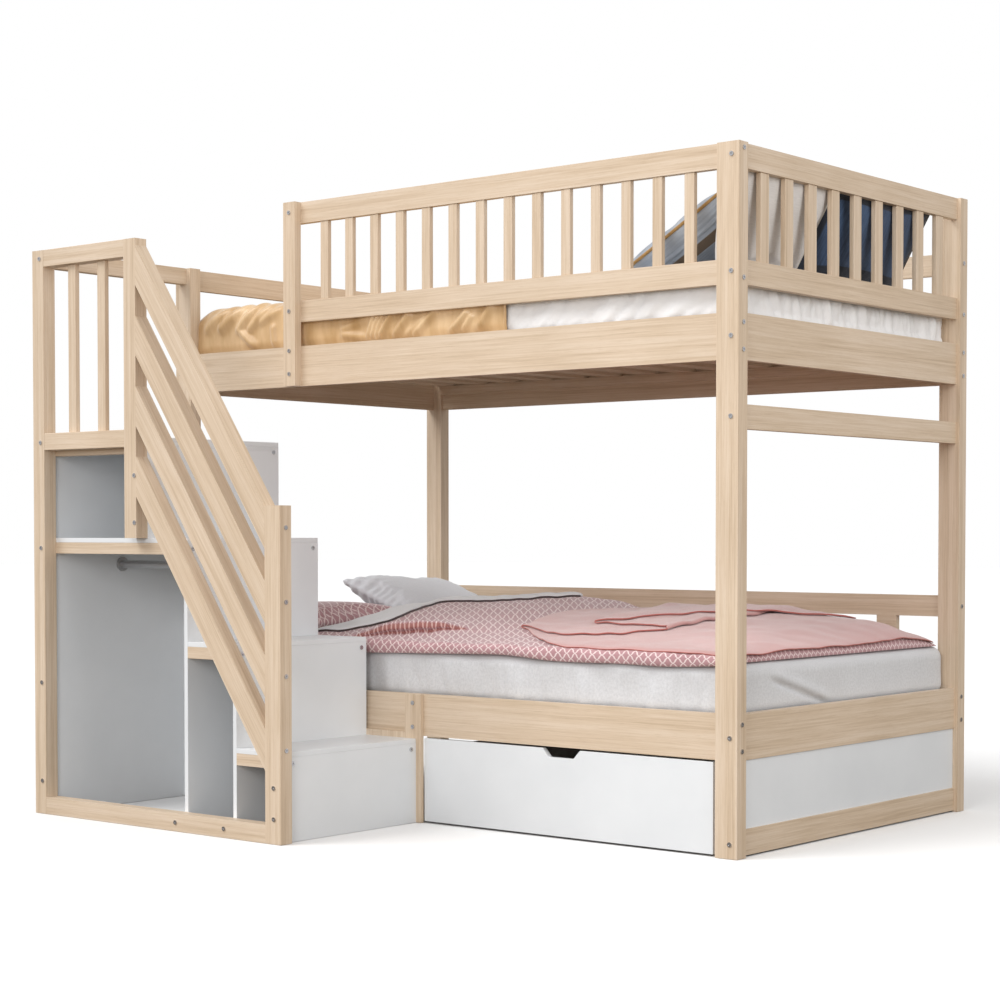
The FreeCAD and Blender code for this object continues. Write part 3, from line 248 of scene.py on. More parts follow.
def trellis_print(name, ground, lines, pitch, slant=0.0):
    """Printed cotton: a curved trellis over a plain ground, slanted by an angle in degrees."""
    made = new_material(name)
    place = cloth_place(made)
    turned = node(made.node_tree, "VectorRotate", {"Vector": place, "Angle": math.radians(-slant)},
                  rotation_type="Z_AXIS").outputs[0]
    axes = split(turned)
    across, up = (calc("MULTIPLY", axes[axis], ROUND_TURN / pitch[axis]) for axis in (0, 1))
    bowed = calc("MULTIPLY_ADD", calc("SINE", calc("MULTIPLY", up, 2.0)), 0.30, up)
    diagonals = [calc("MULTIPLY", calc(way, across, bowed), 0.5) for way in ("ADD", "SUBTRACT")]
    apart = [calc("ABSOLUTE", calc("COSINE", diagonal)) for diagonal in diagonals]
    line = levels(calc("MINIMUM", *apart), 0.20, 0.32, 1.0, 0.0)
    uneven = clouds(place, (14, 14, 14), 5.0)
    faded = ramp(uneven, (0.3, dimmed(ground, 0.86)), (0.7, ground))
    weave = threads(place, 0.0012)
    tint = mixed(calc("MULTIPLY", weave, 0.10), mixed(line, faded, lines), ground)
    return coat(made, tint, levels(uneven, 0.3, 0.7, 0.86, 0.74), calc("MULTIPLY_ADD", line, 0.6, weave),
                0.3, 0.0005, {"Sheen Weight": 0.3})


def satin(name, dark, light):
    """Satin throw: smooth long floats that catch the light, with noise patches between a dark and a light
    colour that are painted shade and painted sheen.
    """
    made = new_material(name)
    place = cloth_place(made)
    brushed = clouds(place, (14, 3.5, 14), 4.0, 0.55)
    floats = clouds(place, (60, 900, 60), 2.0)
    # The noise patches mix a shadow colour and a highlight colour: painted shade and painted sheen.
    tint = ramp(brushed, (0.3, dark), (0.68, light))
    return coat(made, tint, levels(brushed, 0.3, 0.7, 0.46, 0.30),
                calc("MULTIPLY_ADD", brushed, 0.8, floats), 0.3, 0.0008,
                {"Sheen Weight": 0.35, "Sheen Roughness": 0.4})


def denim(name, dark, light, edge, size, band, near_side=False):
    """Twill with washed-out patches, and a band of another colour round the panel or along its near side."""
    made = new_material(name)
    place = cloth_place(made)
    axes = split(place)
    diagonal = calc("ADD", axes[0], axes[1])
    twill = calc("SINE", calc("MULTIPLY", diagonal, ROUND_TURN / 0.0022))
    washed = clouds(place, (6, 6, 6), 5.0, 0.62)
    streaks = clouds(place, (160, 12, 160), 3.0)
    mark = weighed(streaks, 0.45, washed)
    tint = ramp(mark, (0.36, dark), (0.64, light))
    tint = mixed(levels(twill, -1.0, 1.0, 0.0, 0.18), tint, light)
    if near_side:
        nearest = calc("ADD", axes[0], size[0] / 2)
    else:
        inset = [calc("SUBTRACT", size[axis] / 2, calc("ABSOLUTE", axes[axis])) for axis in (0, 1)]
        nearest = calc("MINIMUM", *inset)
    inside = calc("MULTIPLY", levels(nearest, band[0] - 0.004, band[0]),
                  levels(nearest, band[1], band[1] + 0.004, 1.0, 0.0))
    return coat(made, mixed(inside, tint, edge), levels(mark, 0.3, 0.7, 0.9, 0.76),
                calc("ADD", twill, streaks), 0.35, 0.0006, {"Sheen Weight": 0.2})


# Mesh building

def add_object(name, data):
    made = bpy.data.objects.new(name, data)
    bpy.context.scene.collection.objects.link(made)
    return made


def new_piece(name, points, faces, cloth, finish):
    """A smooth mesh that rides on the bed; cloth gives each point's place on the uncut cloth."""
    mesh = bpy.data.meshes.new(name)
    mesh.from_pydata(points, [], faces)
    mesh.update()
    spot = mesh.attributes.new("cloth", "FLOAT_VECTOR", "POINT")
    spot.data.foreach_set("vector", [value for place in cloth for value in (place[0], place[1], 0.0)])
    mesh.polygons.foreach_set("use_smooth", [True] * len(mesh.polygons))
    mesh.materials.append(finish)
    made = add_object(name, mesh)
    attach(made, "frame")
    return made


def smoother(piece):
    made = piece.modifiers.new("smooth", "SUBSURF")
    made.levels = 1
    made.render_levels = 1


def thicken(piece, depth, rim=None):
    """Cloth thickness on both sides of a sheet, with another finish on its rim."""
    made = piece.modifiers.new("cloth", "SOLIDIFY")
    made.thickness = depth
    made.offset = 0.0
    if rim:
        piece.data.materials.append(rim)
        made.material_offset_rim = 1


def sheet_faces(columns, rows):
    """Faces of a grid whose points are listed row by row."""
    faces = []
    for row in range(rows - 1):
        for column in range(columns - 1):
            corner = row * columns + column
            faces.append((corner, corner + 1, corner + columns + 1, corner + columns))
    return faces


def padded_faces(columns, rows, top, low):
    """Faces of two grids that share their rim; top and low map a grid place to a point number."""
    faces = []
    for row in range(rows - 1):
        for column in range(columns - 1):
            ring = ((column, row), (column + 1, row), (column + 1, row + 1), (column, row + 1))
            faces.append(tuple(top[place] for place in ring))
            faces.append(tuple(low[place] for place in reversed(ring)))
    return [face for face in faces if len(set(face)) == 4]


def padded_piece(name, columns, rows, spot, cloth_at, finish):
    """A stuffed form between an upper and a lower surface that meet at their rim. A spot is given by its
    column, its row and whether it is on the upper one."""
    points, cloth, top, low = [], [], {}, {}
    for row in range(rows):
        for column in range(columns):
            place = (column, row)
            top[place] = low[place] = len(points)
            points.append(spot(column, row, True))
            cloth.append(cloth_at(column, row))
            rim = column in (0, columns - 1) or row in (0, rows - 1)
            if not rim:
                low[place] = len(points)
                points.append(spot(column, row, False))
                cloth.append(cloth_at(column, row))
    return new_piece(name, points, padded_faces(columns, rows, top, low), cloth, finish)


def ease(value):
    """A smooth step from 0 to 1."""
    value = min(1.0, max(0.0, value))
    return value * value * (3 - 2 * value)


def soft_noise(*place):
    return noise.noise(Vector(place))


def corners_of(part):
    """The lowest and the highest corner of a node."""
    return [Vector(corner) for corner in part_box(part)]


def ticks(low, high, edge, count):
    """Places along an axis: close together near both ends."""
    turns = [edge * share for share in (0.0, 0.12, 0.3, 0.55, 0.8)]
    run = high - low - 2 * edge
    middle = [low + edge + run * step / count for step in range(count + 1)]
    return [low + turn for turn in turns] + middle + [high - turn for turn in reversed(turns)]


MATTRESS_ROUND = 0.035
MATTRESS_STEPS = (230, 140, 14)


def mattress(name, part, finish, creases):
    """A made-up mattress: rounded edges, and a sheet whose creases move its faces in and out."""
    low, high = corners_of(part)
    edge = MATTRESS_ROUND
    axes = [ticks(low[axis], high[axis], edge, count) for axis, count in enumerate(MATTRESS_STEPS)]
    sizes = [len(axis) for axis in axes]
    numbers, points, cloth, faces = {}, [], [], []

    def number_of(spot):
        if spot not in numbers:
            place = Vector([axes[axis][spot[axis]] for axis in range(3)])
            core = Vector([min(max(place[axis], low[axis] + edge), high[axis] - edge) for axis in range(3)])
            out = (place - core).normalized()
            numbers[spot] = len(points)
            points.append(core + out * (edge + creases(place, out)))
            cloth.append((place.x + place.z * out.x, place.y + place.z * out.y))
        return numbers[spot]

    for axis in range(3):
        across, up = (axis + 1) % 3, (axis + 2) % 3
        for side in (0, sizes[axis] - 1):
            for first in range(sizes[across] - 1):
                for second in range(sizes[up] - 1):
                    ring = []
                    for add_first, add_second in ((0, 0), (1, 0), (1, 1), (0, 1)):
                        spot = {axis: side, across: first + add_first, up: second + add_second}
                        ring.append(number_of((spot[0], spot[1], spot[2])))
                    faces.append(ring if side else ring[::-1])
    made = new_piece(name, points, faces, cloth, finish)
    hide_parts(part)


def crease(value):
    """Soft noise drawn into narrow grooves."""
    return abs(value) ** 0.7 - 0.5


def lower_creases(place, out):
    """Soft upright folds on the front, a slanted crease at the right end."""
    hang = ease((0.52 - place.z) / 0.10)
    folds = soft_noise(place.x * 8, place.y * 3, place.z * 2.5)
    folds += crease(soft_noise(place.x * 17, 0.0, place.z * 3))
    side = max(0.0, -out.y) * hang * 0.0130 * folds
    line = place.z - (0.463 - 0.274 * (place.y + 0.113))
    fade = ease((place.y + 0.14) / 0.08) * ease((0.22 - place.y) / 0.08)
    groove = math.exp(-(line / 0.008) ** 2) - 0.6 * math.exp(-((line - 0.02) / 0.014) ** 2)
    end = max(0.0, out.x) * 0.010 * fade * groove
    swell = max(0.0, out.x) * 0.0030 * soft_noise(place.y * 6, place.z * 9, 2.0)
    top = max(0.0, out.z) * 0.0015 * soft_noise(place.x * 6, place.y * 6, 3.0)
    return side - end + swell + top


def upper_creases(place, out):
    """Slanted creases along the front, and close upright gathers at the end, which swells over its rail."""
    slope = place.x - 0.8 * place.z
    creases = crease(soft_noise(slope * 14, place.z * 5, 0.0))
    creases += 0.6 * crease(soft_noise(slope * 31, place.z * 8, 5.0))
    front = max(0.0, -out.y) * 0.0160 * (creases - 0.05)
    height = (place.z - 1.45) / 0.13
    swell = 0.006 * math.sin(math.pi * min(1.0, max(0.0, height)))
    lean = place.y + 0.25 * place.z
    gathers = crease(soft_noise(lean * 19, place.z * 6, 1.0))
    gathers += 0.6 * crease(soft_noise(lean * 44, place.z * 5, 4.0))
    end = abs(out.x) * (swell + 0.0180 * ease(height / 0.2) * (gathers - 0.2))
    top = max(0.0, out.z) * 0.003 * soft_noise(place.x * 7, place.y * 7, 9.0)
    return front + end + top


# Bedding of the lower bed

LOWER_LOW, LOWER_HIGH = corners_of("lower_mattress")
DUVET_LOW, DUVET_HIGH = corners_of("lower_duvet")
BED_TOP = LOWER_HIGH.z
SEAT = 0.0012
FRONT, HEAD = LOWER_LOW.y, DUVET_LOW.x
DUVET_BACK, FOOT = DUVET_HIGH.y, LOWER_HIGH.x - 0.010
FRONT_THICK, FRONT_ROLL = 0.026, 0.012
HEAD_ROUND, FOOT_ROUND = 0.060, 0.020

# The duvet's ridge from head to foot: place along the bed, place across it, thickness.
RIDGE = ((-0.59, 0.34, 0.122), (-0.35, 0.46, 0.128), (-0.15, 0.60, 0.142), (-0.05, 0.62, 0.124),
         (0.05, 0.60, 0.104), (0.15, 0.58, 0.092), (0.30, 0.56, 0.088), (0.50, 0.56, 0.094),
         (0.62, 0.58, 0.096), (0.75, 0.62, 0.090), (0.85, 0.65, 0.080), (0.95, 0.68, 0.064),
         (1.00, 0.69, 0.048), (1.05, 0.70, 0.020))
# How far the duvet's front edge hangs below the mattress's top.
FRONT_HANG = ((-0.59, 0.014), (-0.30, 0.017), (0.00, 0.009), (0.28, 0.002), (0.45, 0.016), (0.70, 0.012),
              (0.85, 0.016), (1.05, 0.004))


def straight(rows, place, column):
    """A value between rows of numbers, by the rows' first number."""
    if place <= rows[0][0]:
        return rows[0][column]
    for low, high in zip(rows, rows[1:]):
        if place <= high[0]:
            share = (place - low[0]) / (high[0] - low[0])
            return low[column] + (high[column] - low[column]) * share
    return rows[-1][column]


def along(rows, place, column=1, reach=0.06):
    """The same with the corners between the rows rounded off."""
    shares = (-1.0, -0.5, 0.0, 0.5, 1.0)
    return sum(straight(rows, place + share * reach, column) for share in shares) / len(shares)


PLEAT_START, PLEAT_END = Vector((-0.32, -0.290)), Vector((-0.04, -0.105))
PLEAT_RUN = PLEAT_END - PLEAT_START
PLEAT_BACK = Vector((-PLEAT_RUN.y, PLEAT_RUN.x)).normalized()
# Across the pleat, from front to back: place, how far the cloth is drawn forward there, and its rise.
PLEAT_SHAPE = ((-0.016, 0.000, 0.000), (-0.008, -0.004, -0.004), (-0.003, -0.018, -0.002),
               (0.002, -0.020, 0.010), (0.006, 0.006, 0.009), (0.011, 0.018, 0.015), (0.017, 0.016, 0.028),
               (0.026, 0.008, 0.034), (0.060, 0.000, 0.026), (0.160, 0.000, 0.000))


def pleat_place(x, y):
    """A place's share of the pleat's length, and how far it lies behind the pleat."""
    away = Vector((x, y)) - PLEAT_START
    return away.dot(PLEAT_RUN) / PLEAT_RUN.length_squared, away.dot(PLEAT_BACK)


def pleat(x, y, column):
    """The pleat in the duvet near its head: one column of its shape at a place."""
    share, behind = pleat_place(x, y)
    strength = ease(1.2 - abs(share - 0.42) * 1.8)
    return strength * straight(PLEAT_SHAPE, behind, column)


def duvet_puff(x, y):
    """Unevenness of the duvet's filling."""
    slow = 0.006 * soft_noise(x * 5.5, y * 5.5, 1.0) + 0.0035 * soft_noise(x * 13, y * 13, 4.0)
    folds = 0.004 * soft_noise((x + 0.8 * y) * 16, (y - x) * 3, 8.0)
    return slow + folds + pleat(x, y, 2)


def end_fullness(x):
    """How full the duvet is where it rounds down to the mattress at its head and foot."""
    end = max(0.0, min((x - HEAD) / HEAD_ROUND, (FOOT - x) / FOOT_ROUND, 1.0))
    return math.sqrt(1 - (1 - end) ** 2)


def duvet_height(x, y):
    """Height of the duvet's top."""
    crest, thick = along(RIDGE, x, 1), along(RIDGE, x, 2)
    front = min(FRONT_THICK, thick)
    if y < crest:
        share = max(0.0, (y - FRONT) / (crest - FRONT))
        thick = front + (thick - front) * share * (1.25 - 0.25 * share ** 2)
    else:
        thick *= math.sqrt(max(0.0, 1 - ((y - crest) / (DUVET_BACK - crest)) ** 2))
    calm = min(1.0, thick / 0.04)
    return BED_TOP + SEAT + (thick + calm * duvet_puff(x, y)) * end_fullness(x)


def duvet_edge(x):
    """The hanging front edge at one place along the bed: outer and inner points, from its hem up."""
    sway = 0.0035 * math.sin(ROUND_TURN * x / 0.21) + 0.0025 * soft_noise(x * 9, 7.0, 0.0)
    hem = BED_TOP - along(FRONT_HANG, x)
    top = duvet_height(x, FRONT + FRONT_ROLL)
    rise, flat = top - hem, BED_TOP + SEAT
    outer = ((-0.0075 + sway / 2, hem), (-0.0135 + sway, hem + 0.003), (-0.0160 + sway, hem + 0.4 * rise),
             (-0.0150 + 0.8 * sway, hem + 0.75 * rise), (-0.0080 + 0.4 * sway, top - 0.0035),
             (0.0, top - 0.0005))
    inner = ((-0.0075 + sway / 2, hem), (-0.0035, hem + 0.002), (-0.0030, hem + 0.3 * (flat - hem)),
             (-0.0025, hem + 0.7 * (flat - hem)), (0.0010, flat), (0.0060, flat))
    return tuple([Vector((x, FRONT + y, z)) for y, z in side] for side in (outer, inner))


def duvet_column(x, places):
    """Top and underside points of the duvet at one place along the bed, from its hem to its back."""
    outer, inner = duvet_edge(x)
    full = end_fullness(x)
    high = [low.lerp(top, full) for low, top in zip(inner, outer)]
    flat = BED_TOP + SEAT
    for y in places:
        forward = -pleat(x, y, 1) * PLEAT_BACK
        high.append(Vector((x + forward.x, y + forward.y, duvet_height(x, y))))
    return high, inner + [Vector((x, y, flat)) for y in places]


def lengths_along(points):
    """Lengths from the first point to each point of a row."""
    lengths = [0.0]
    for first, second in zip(points, points[1:]):
        lengths.append(lengths[-1] + (second - first).length)
    return lengths


def under_pleat(polygon):
    """Whether a face is on the steep front of the pleat, which gets a darker print as painted shade."""
    share, behind = pleat_place(polygon.center.x, polygon.center.y)
    steep = polygon.normal.xy.dot(PLEAT_BACK) < -0.45
    return steep and -0.2 < share < 1.0 and abs(behind) < 0.03


def make_duvet(finish, border, pleat_painted_shade, lining, edge):
    """A heaped duvet with a rippled front edge and a turned-back part that shows its lining."""
    ends = (0.0, 0.003, 0.008, 0.016, 0.028)
    steps, near_steps, far_steps = 200, 90, 80
    run = FOOT - HEAD - 2 * ends[-1]
    stops = [HEAD + end for end in ends]
    stops += [HEAD + ends[-1] + run * step / steps for step in range(1, steps)]
    stops += [FOOT - end for end in reversed(ends)]
    near, mid = FRONT + FRONT_ROLL, FRONT + 0.262
    places = [near + (mid - near) * step / near_steps for step in range(near_steps)]
    for step in range(far_steps + 1):
        places.append(mid + (DUVET_BACK - mid) * (1 - (1 - step / far_steps) ** 1.5))
    columns = [duvet_column(x, places) for x in stops]
    rows = len(columns[0][0])
    down = lengths_along(columns[len(columns) // 2][0])
    over = lengths_along([column[0][rows // 2] for column in columns])
    duvet = padded_piece("duvet", len(stops), rows,
                         lambda column, row, upper: columns[column][0 if upper else 1][row],
                         lambda column, row: (over[column], down[row]), finish)
    duvet.data.materials.append(border)
    duvet.data.materials.append(pleat_painted_shade)
    # Front and foot faces take the border print; faces on the pleat's steep front take a darker copy of the
    # print, painted shade under the fold.
    for polygon in duvet.data.polygons:
        if polygon.center.y < FRONT + 0.004 or polygon.center.x > FOOT - 0.010:
            polygon.material_index = 1
        elif under_pleat(polygon):
            polygon.material_index = 2
    smoother(duvet)
    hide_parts("lower_duvet")
    make_turned_part(lining, edge)


# The turned-back part in plan: its hem, and the fold on its far side, point by point.
TURN_HEM = ((-0.540, -0.272), (-0.505, -0.255), (-0.455, -0.236), (-0.428, -0.190), (-0.424, -0.110),
            (-0.416, -0.010), (-0.462, 0.140), (-0.520, 0.305), (-0.440, 0.335), (-0.300, 0.360),
            (-0.215, 0.425), (-0.172, 0.520), (-0.135, 0.600))
TURN_FOLD = ((-0.566, -0.268), (-0.580, -0.235), (-0.585, -0.190), (-0.586, -0.130), (-0.587, -0.040),
             (-0.587, 0.080), (-0.587, 0.240), (-0.586, 0.420), (-0.560, 0.560), (-0.440, 0.640),
             (-0.330, 0.665), (-0.225, 0.655), (-0.132, 0.604))


def chain_point(chain, share):
    """A place on a chain of points, rounded off at its corners."""
    rows = [(number, *point) for number, point in enumerate(chain)]
    place = share * (len(chain) - 1)
    return Vector((along(rows, place, 1, 0.5), along(rows, place, 2, 0.5)))


def make_turned_part(lining, edge):
    """The part of the duvet that is folded back over itself at the head and along the ridge."""
    rows = 120
    crossing = (0.0, 0.015, 0.045, 0.09, 0.16, 0.25, 0.36, 0.48, 0.60, 0.72, 0.83, 0.92, 0.975, 1.0)

    def spot(column, row, upper):
        share = row / (rows - 1)
        across = crossing[column]
        place = chain_point(TURN_HEM, share).lerp(chain_point(TURN_FOLD, share), across)
        bed = duvet_height(place.x, place.y)
        rim = min(1.0, min(across / 0.06, (1 - across) / 0.06), min(share, 1 - share) / 0.02)
        full = math.sqrt(max(0.0, 1 - (1 - rim) ** 2))
        lift = 0.0015
        if upper:
            ripple = 0.003 * soft_noise(place.x * 16, place.y * 16, 6.0)
            lift += full * (0.010 + ripple)
        else:
            lift *= full
        return Vector((place.x, place.y, bed + lift))

    part = padded_piece("duvet_turned_part", len(crossing), rows, spot,
                        lambda column, row: (0.3 * crossing[column], 1.2 * row / rows), lining)
    smoother(part)
    # A corded seam along the hem; its near-black colour is painted shade where the turned part's edge lies
    # over the print.
    hem = [spot(0, row, True) + Vector((0, 0, 0.002)) for row in range(rows)]
    piping("duvet_hem_cord_painted_shade", hem, 0.0032, edge, False)


def piping(name, points, radius, finish, closed):
    """A corded seam along a row of points."""
    curve = bpy.data.curves.new(name + "_line", "CURVE")
    curve.dimensions = "3D"
    spline = curve.splines.new("POLY")
    spline.points.add(len(points) - 1)
    for target, point in zip(spline.points, points):
        target.co = (*point, 1.0)
    spline.use_cyclic_u = closed
    curve.bevel_depth = radius
    curve.bevel_resolution = 3
    curve.use_fill_caps = True
    helper = add_object(name + "_line", curve)
    bpy.context.view_layer.update()
    mesh = bpy.data.meshes.new_from_object(helper.evaluated_get(bpy.context.evaluated_depsgraph_get()))
    bpy.data.objects.remove(helper)
    bpy.data.curves.remove(curve)
    points = [vertex.co.copy() for vertex in mesh.vertices]
    faces = [tuple(polygon.vertices) for polygon in mesh.polygons]
    bpy.data.meshes.remove(mesh)
    cloth = [(point.x + point.z, point.y + point.z) for point in points]
    new_piece(name, points, faces, cloth, finish)


# The folded blanket. Its layers go left, right, left and right again. Each layer's front edge is a line in
# plan, and so are the folds between the layers, by their place across the bed.
BLANKET_BACK = ((0.0, 0.70), (0.50, 0.70), (0.80, 0.735), (1.05, 0.845))
LAYER_FRONTS = (
    ((0.03, -0.006), (0.105, -0.006), (0.25, -0.148), (0.391, -0.272), (0.46, -0.314), (1.05, -0.318)),
    ((0.03, -0.006), (0.105, -0.006), (0.25, -0.095), (0.375, -0.165), (0.468, -0.110), (0.541, -0.055),
     (0.60, 0.038)),
    ((0.20, 0.079), (0.321, 0.079), (0.60, 0.038)),
    ((0.20, 0.079), (0.321, 0.079), (0.395, 0.184), (0.533, 0.278), (0.570, 0.370), (0.620, 0.460),
     (0.72, 0.560), (0.79, 0.650), (0.83, 0.720)),
)
LAYER_LIFTS = (0.005, 0.0125, 0.020, 0.0275)
LAYER_END, LAYER_STEPS, FOLD_ROUND = 0.825, 40, 0.008
LEFT_FOLD = ((-0.006, 0.105), (0.10, 0.060), (0.234, 0.030), (0.349, 0.045), (0.431, 0.085), (0.55, 0.150),
             (0.70, 0.250))
MID_FOLD = ((0.038, 0.600), (0.70, 0.640))
TOP_FOLD = ((0.079, 0.315), (0.244, 0.278), (0.36, 0.262), (0.562, 0.225), (0.70, 0.240))


def blanket_stops(share):
    """Where the layers of one row of the blanket start and end along the bed."""
    def fold(line):
        front = line[0][0]
        return along(line, front + share * (line[-1][0] - front))

    left, middle, top = fold(LEFT_FOLD), fold(MID_FOLD), fold(TOP_FOLD)
    return ((FOOT + 0.004, left), (left, middle), (middle, top), (top, LAYER_END))


def blanket_lift(layer, x):
    """How high a layer lies over the duvet: the top one sinks where fewer layers are under it."""
    sunk = 0.5 * ease((x - 0.60) / 0.12) * LAYER_LIFTS[3] if layer == 3 else 0.0
    return LAYER_LIFTS[layer] - sunk


def blanket_spot(layer, x, share, lift):
    """A point of the blanket, from its place in a row and its lift over the duvet."""
    front, back = along(LAYER_FRONTS[layer], x, 1, 0.03), along(BLANKET_BACK, x)
    y = front + share * (back - front)
    wave = 0.0035 * soft_noise(x * 7, y * 7, 1.0) + 0.0018 * soft_noise(x * 23, y * 19, 2.0)
    over = max(0.0, FRONT + FRONT_ROLL - y)
    droop = 0.009 * (over / 0.024) ** 2
    end = 0.010 * ease((x - FOOT + 0.03) / 0.034)
    bed = duvet_height(min(x, FOOT - 0.014), max(y, FRONT + FRONT_ROLL))
    return Vector((x, y, bed + lift + wave - droop - end))


def blanket_row(share):
    """One row of the blanket from its lowest end to its top end."""
    row = []
    for layer, (start, end) in enumerate(blanket_stops(share)):
        for step in range(LAYER_STEPS):
            x = start + (end - start) * step / (LAYER_STEPS - 1)
            row.append(blanket_spot(layer, x, share, blanket_lift(layer, x)))
        if layer < 3:
            side = -1 if end < start else 1
            low, high = LAYER_LIFTS[layer], LAYER_LIFTS[layer + 1]
            for angle in (25, 55, 90, 125, 155):
                turn = math.radians(angle)
                lift = low + (high - low) * (1 - math.cos(turn)) / 2
                spot = blanket_spot(layer, end, share, lift)
                row.append(spot + Vector((side * FOLD_ROUND * math.sin(turn), 0, 0)))
    return row


def make_blanket(finish, edge):
    """A thin blanket folded to and fro over the duvet's right half."""
    rows = 110
    points, cloth = [], []
    for row in range(rows):
        share = row / (rows - 1)
        length = 0.0
        spots = blanket_row(share)
        for number, spot in enumerate(spots):
            length += (spot - spots[number - 1]).length if number else 0.0
            cloth.append((length, 1.02 * share))
        points += spots
    columns = len(points) // rows
    made = new_piece("blanket", points, sheet_faces(columns, rows), cloth, finish)
    # The rim takes a darker, redder finish: painted shade along the layers' edges.
    thicken(made, 0.0055, edge)
    smoother(made)
    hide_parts("lower_blanket")


# Stuffed pieces

BAG_COLUMNS = 72
STUFFING_FRAMES = 24
PUCKER_PITCH = 0.032
NAVY_SIZE, DENIM_SIZE = (0.56, 0.31, 0.10), (0.43, 0.385, 0.10)


def bag_rows(size):
    return round(BAG_COLUMNS * size[1] / size[0])


def bag(name, size, finish):
    """Two flat panels sewn together round their edge, lying in X and Y."""
    rows = bag_rows(size)

    def cloth_at(column, row):
        return size[0] * (column / BAG_COLUMNS - 0.5), size[1] * (row / rows - 0.5)

    def spot(column, row, upper):
        return Vector((*cloth_at(column, row), 0.002 if upper else -0.002))

    return padded_piece(name, BAG_COLUMNS + 1, rows + 1, spot, cloth_at, finish)


def crown(piece, size, fullness, back_share):
    """Raise a flat bag's panels: a larger fullness makes flatter faces and steeper edges, a smaller share a
    flatter back."""
    for vertex in piece.data.vertices:
        across, up = abs(2 * vertex.co.x / size[0]), abs(2 * vertex.co.y / size[1])
        rise = max(0.0, (1 - across ** fullness) * (1 - up ** fullness)) ** 0.5
        vertex.co.z = rise * size[2] * (back_share if vertex.co.z > 0 else back_share - 1)


def inflate(piece, pressure, frames, cap):
    """Stuff a sewn bag: its panels swell and pucker along the seam, each point by no more than the cap."""
    cloth = piece.modifiers.new("stuffing", "CLOTH")
    settings = cloth.settings
    settings.quality = 5
    settings.mass = 0.2
    settings.bending_stiffness = 0.3
    settings.use_pressure = True
    settings.uniform_pressure_force = pressure
    settings.effector_weights.gravity = 0.0
    cloth.collision_settings.use_collision = False
    cloth.collision_settings.use_self_collision = False
    cloth.point_cache.frame_start = 1
    cloth.point_cache.frame_end = frames
    scene = bpy.context.scene
    for number in range(1, frames + 1):
        scene.frame_set(number)
    shaped = bpy.data.meshes.new_from_object(piece.evaluated_get(bpy.context.evaluated_depsgraph_get()))
    piece.modifiers.clear()
    moves = [vertex.co.copy() for vertex in shaped.vertices]
    for vertex, spot in zip(piece.data.vertices, moves):
        move = spot - vertex.co
        vertex.co += move * min(1.0, cap / max(cap, move.length))
    bpy.data.meshes.remove(shaped)
    scene.frame_set(1)


def extent(piece):
    corners = [vertex.co for vertex in piece.data.vertices]
    return ([min(corner[axis] for corner in corners) for axis in range(3)],
            [max(corner[axis] for corner in corners) for axis in range(3)])


def fit_box(piece, low, high):
    """Stretch a piece to the box between two corners."""
    first, last = extent(piece)
    for vertex in piece.data.vertices:
        for axis in range(3):
            share = (high[axis] - low[axis]) / (last[axis] - first[axis])
            vertex.co[axis] = low[axis] + (vertex.co[axis] - first[axis]) * share


def stuffed(name, size, finish, fullness, pressure, cap, back_share=0.5):
    """A pillow of the given finished width, height and thickness, lying flat about the origin."""
    made = bag(name, size, finish)
    crown(made, size, fullness, back_share)
    inflate(made, pressure, STUFFING_FRAMES, cap)
    fit_box(made, [-side / 2 for side in size], [side / 2 for side in size])
    return made


def seam_points(piece, size):
    """The seam's points in order round a bag's rim."""
    columns, rows = BAG_COLUMNS, bag_rows(size)
    ring = [(column, 0) for column in range(columns)]
    ring += [(columns, row) for row in range(rows)]
    ring += [(column, rows) for column in range(columns, 0, -1)]
    ring += [(0, row) for row in range(rows, 0, -1)]
    numbers = {}
    number = 0
    for row in range(rows + 1):
        for column in range(columns + 1):
            numbers[column, row] = number
            number += 1 if column in (0, columns) or row in (0, rows) else 2
    return [piece.data.vertices[numbers[place]].co.copy() for place in ring]


def cloth_points(piece):
    """Each vertex of a piece, with its place on the cloth and its normal before any change."""
    piece.data.update()
    places = [spot.vector.copy() for spot in piece.data.attributes["cloth"].data]
    normals = [vertex.normal.copy() for vertex in piece.data.vertices]
    return zip(piece.data.vertices, places, normals)


def gather(piece, size, depth, reach):
    """Pucker a stuffed piece along its seam: short creases across it that fade inwards."""
    for vertex, place, normal in cloth_points(piece):
        from_side, from_end = size[0] / 2 - abs(place.x), size[1] / 2 - abs(place.y)
        run = place.y if from_side < from_end else place.x
        near = min(from_side, from_end)
        length = reach * (1.0 + 0.9 * soft_noise(run * 21, 5.0, 2.0))
        fade = ease(near / 0.012) * math.exp(-near / length)
        wave = math.sin(ROUND_TURN * run / PUCKER_PITCH + 5 * soft_noise(run * 9, 1.0, 0.0))
        vertex.co += normal * depth * fade * wave


def stitch(piece, lines, depth, reach):
    """Press sewn lines into a stuffed piece, each an axis and a place on the cloth."""
    for vertex, place, normal in cloth_points(piece):
        for axis, line in lines:
            away = abs(place[axis] - line)
            if away < reach:
                vertex.co -= normal * depth * (1 - away / reach) ** 2


def set_down(piece, turn, part):
    """Turn a stuffed piece and place it in the box of the solid that it stands for."""
    for vertex in piece.data.vertices:
        vertex.co = turn @ vertex.co
    fit_box(piece, *corners_of(part))
    piece.data.update()


def make_pillow(name, size, turn, finish, fullness):
    """A bed pillow in place of a solid, gathered along its seam."""
    part = "lower_" + name
    made = stuffed(name, size, finish, fullness, pressure=5.0, cap=0.030)
    gather(made, size, depth=0.0060, reach=0.040)
    set_down(made, turn, part)
    smoother(made)
    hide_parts(part)


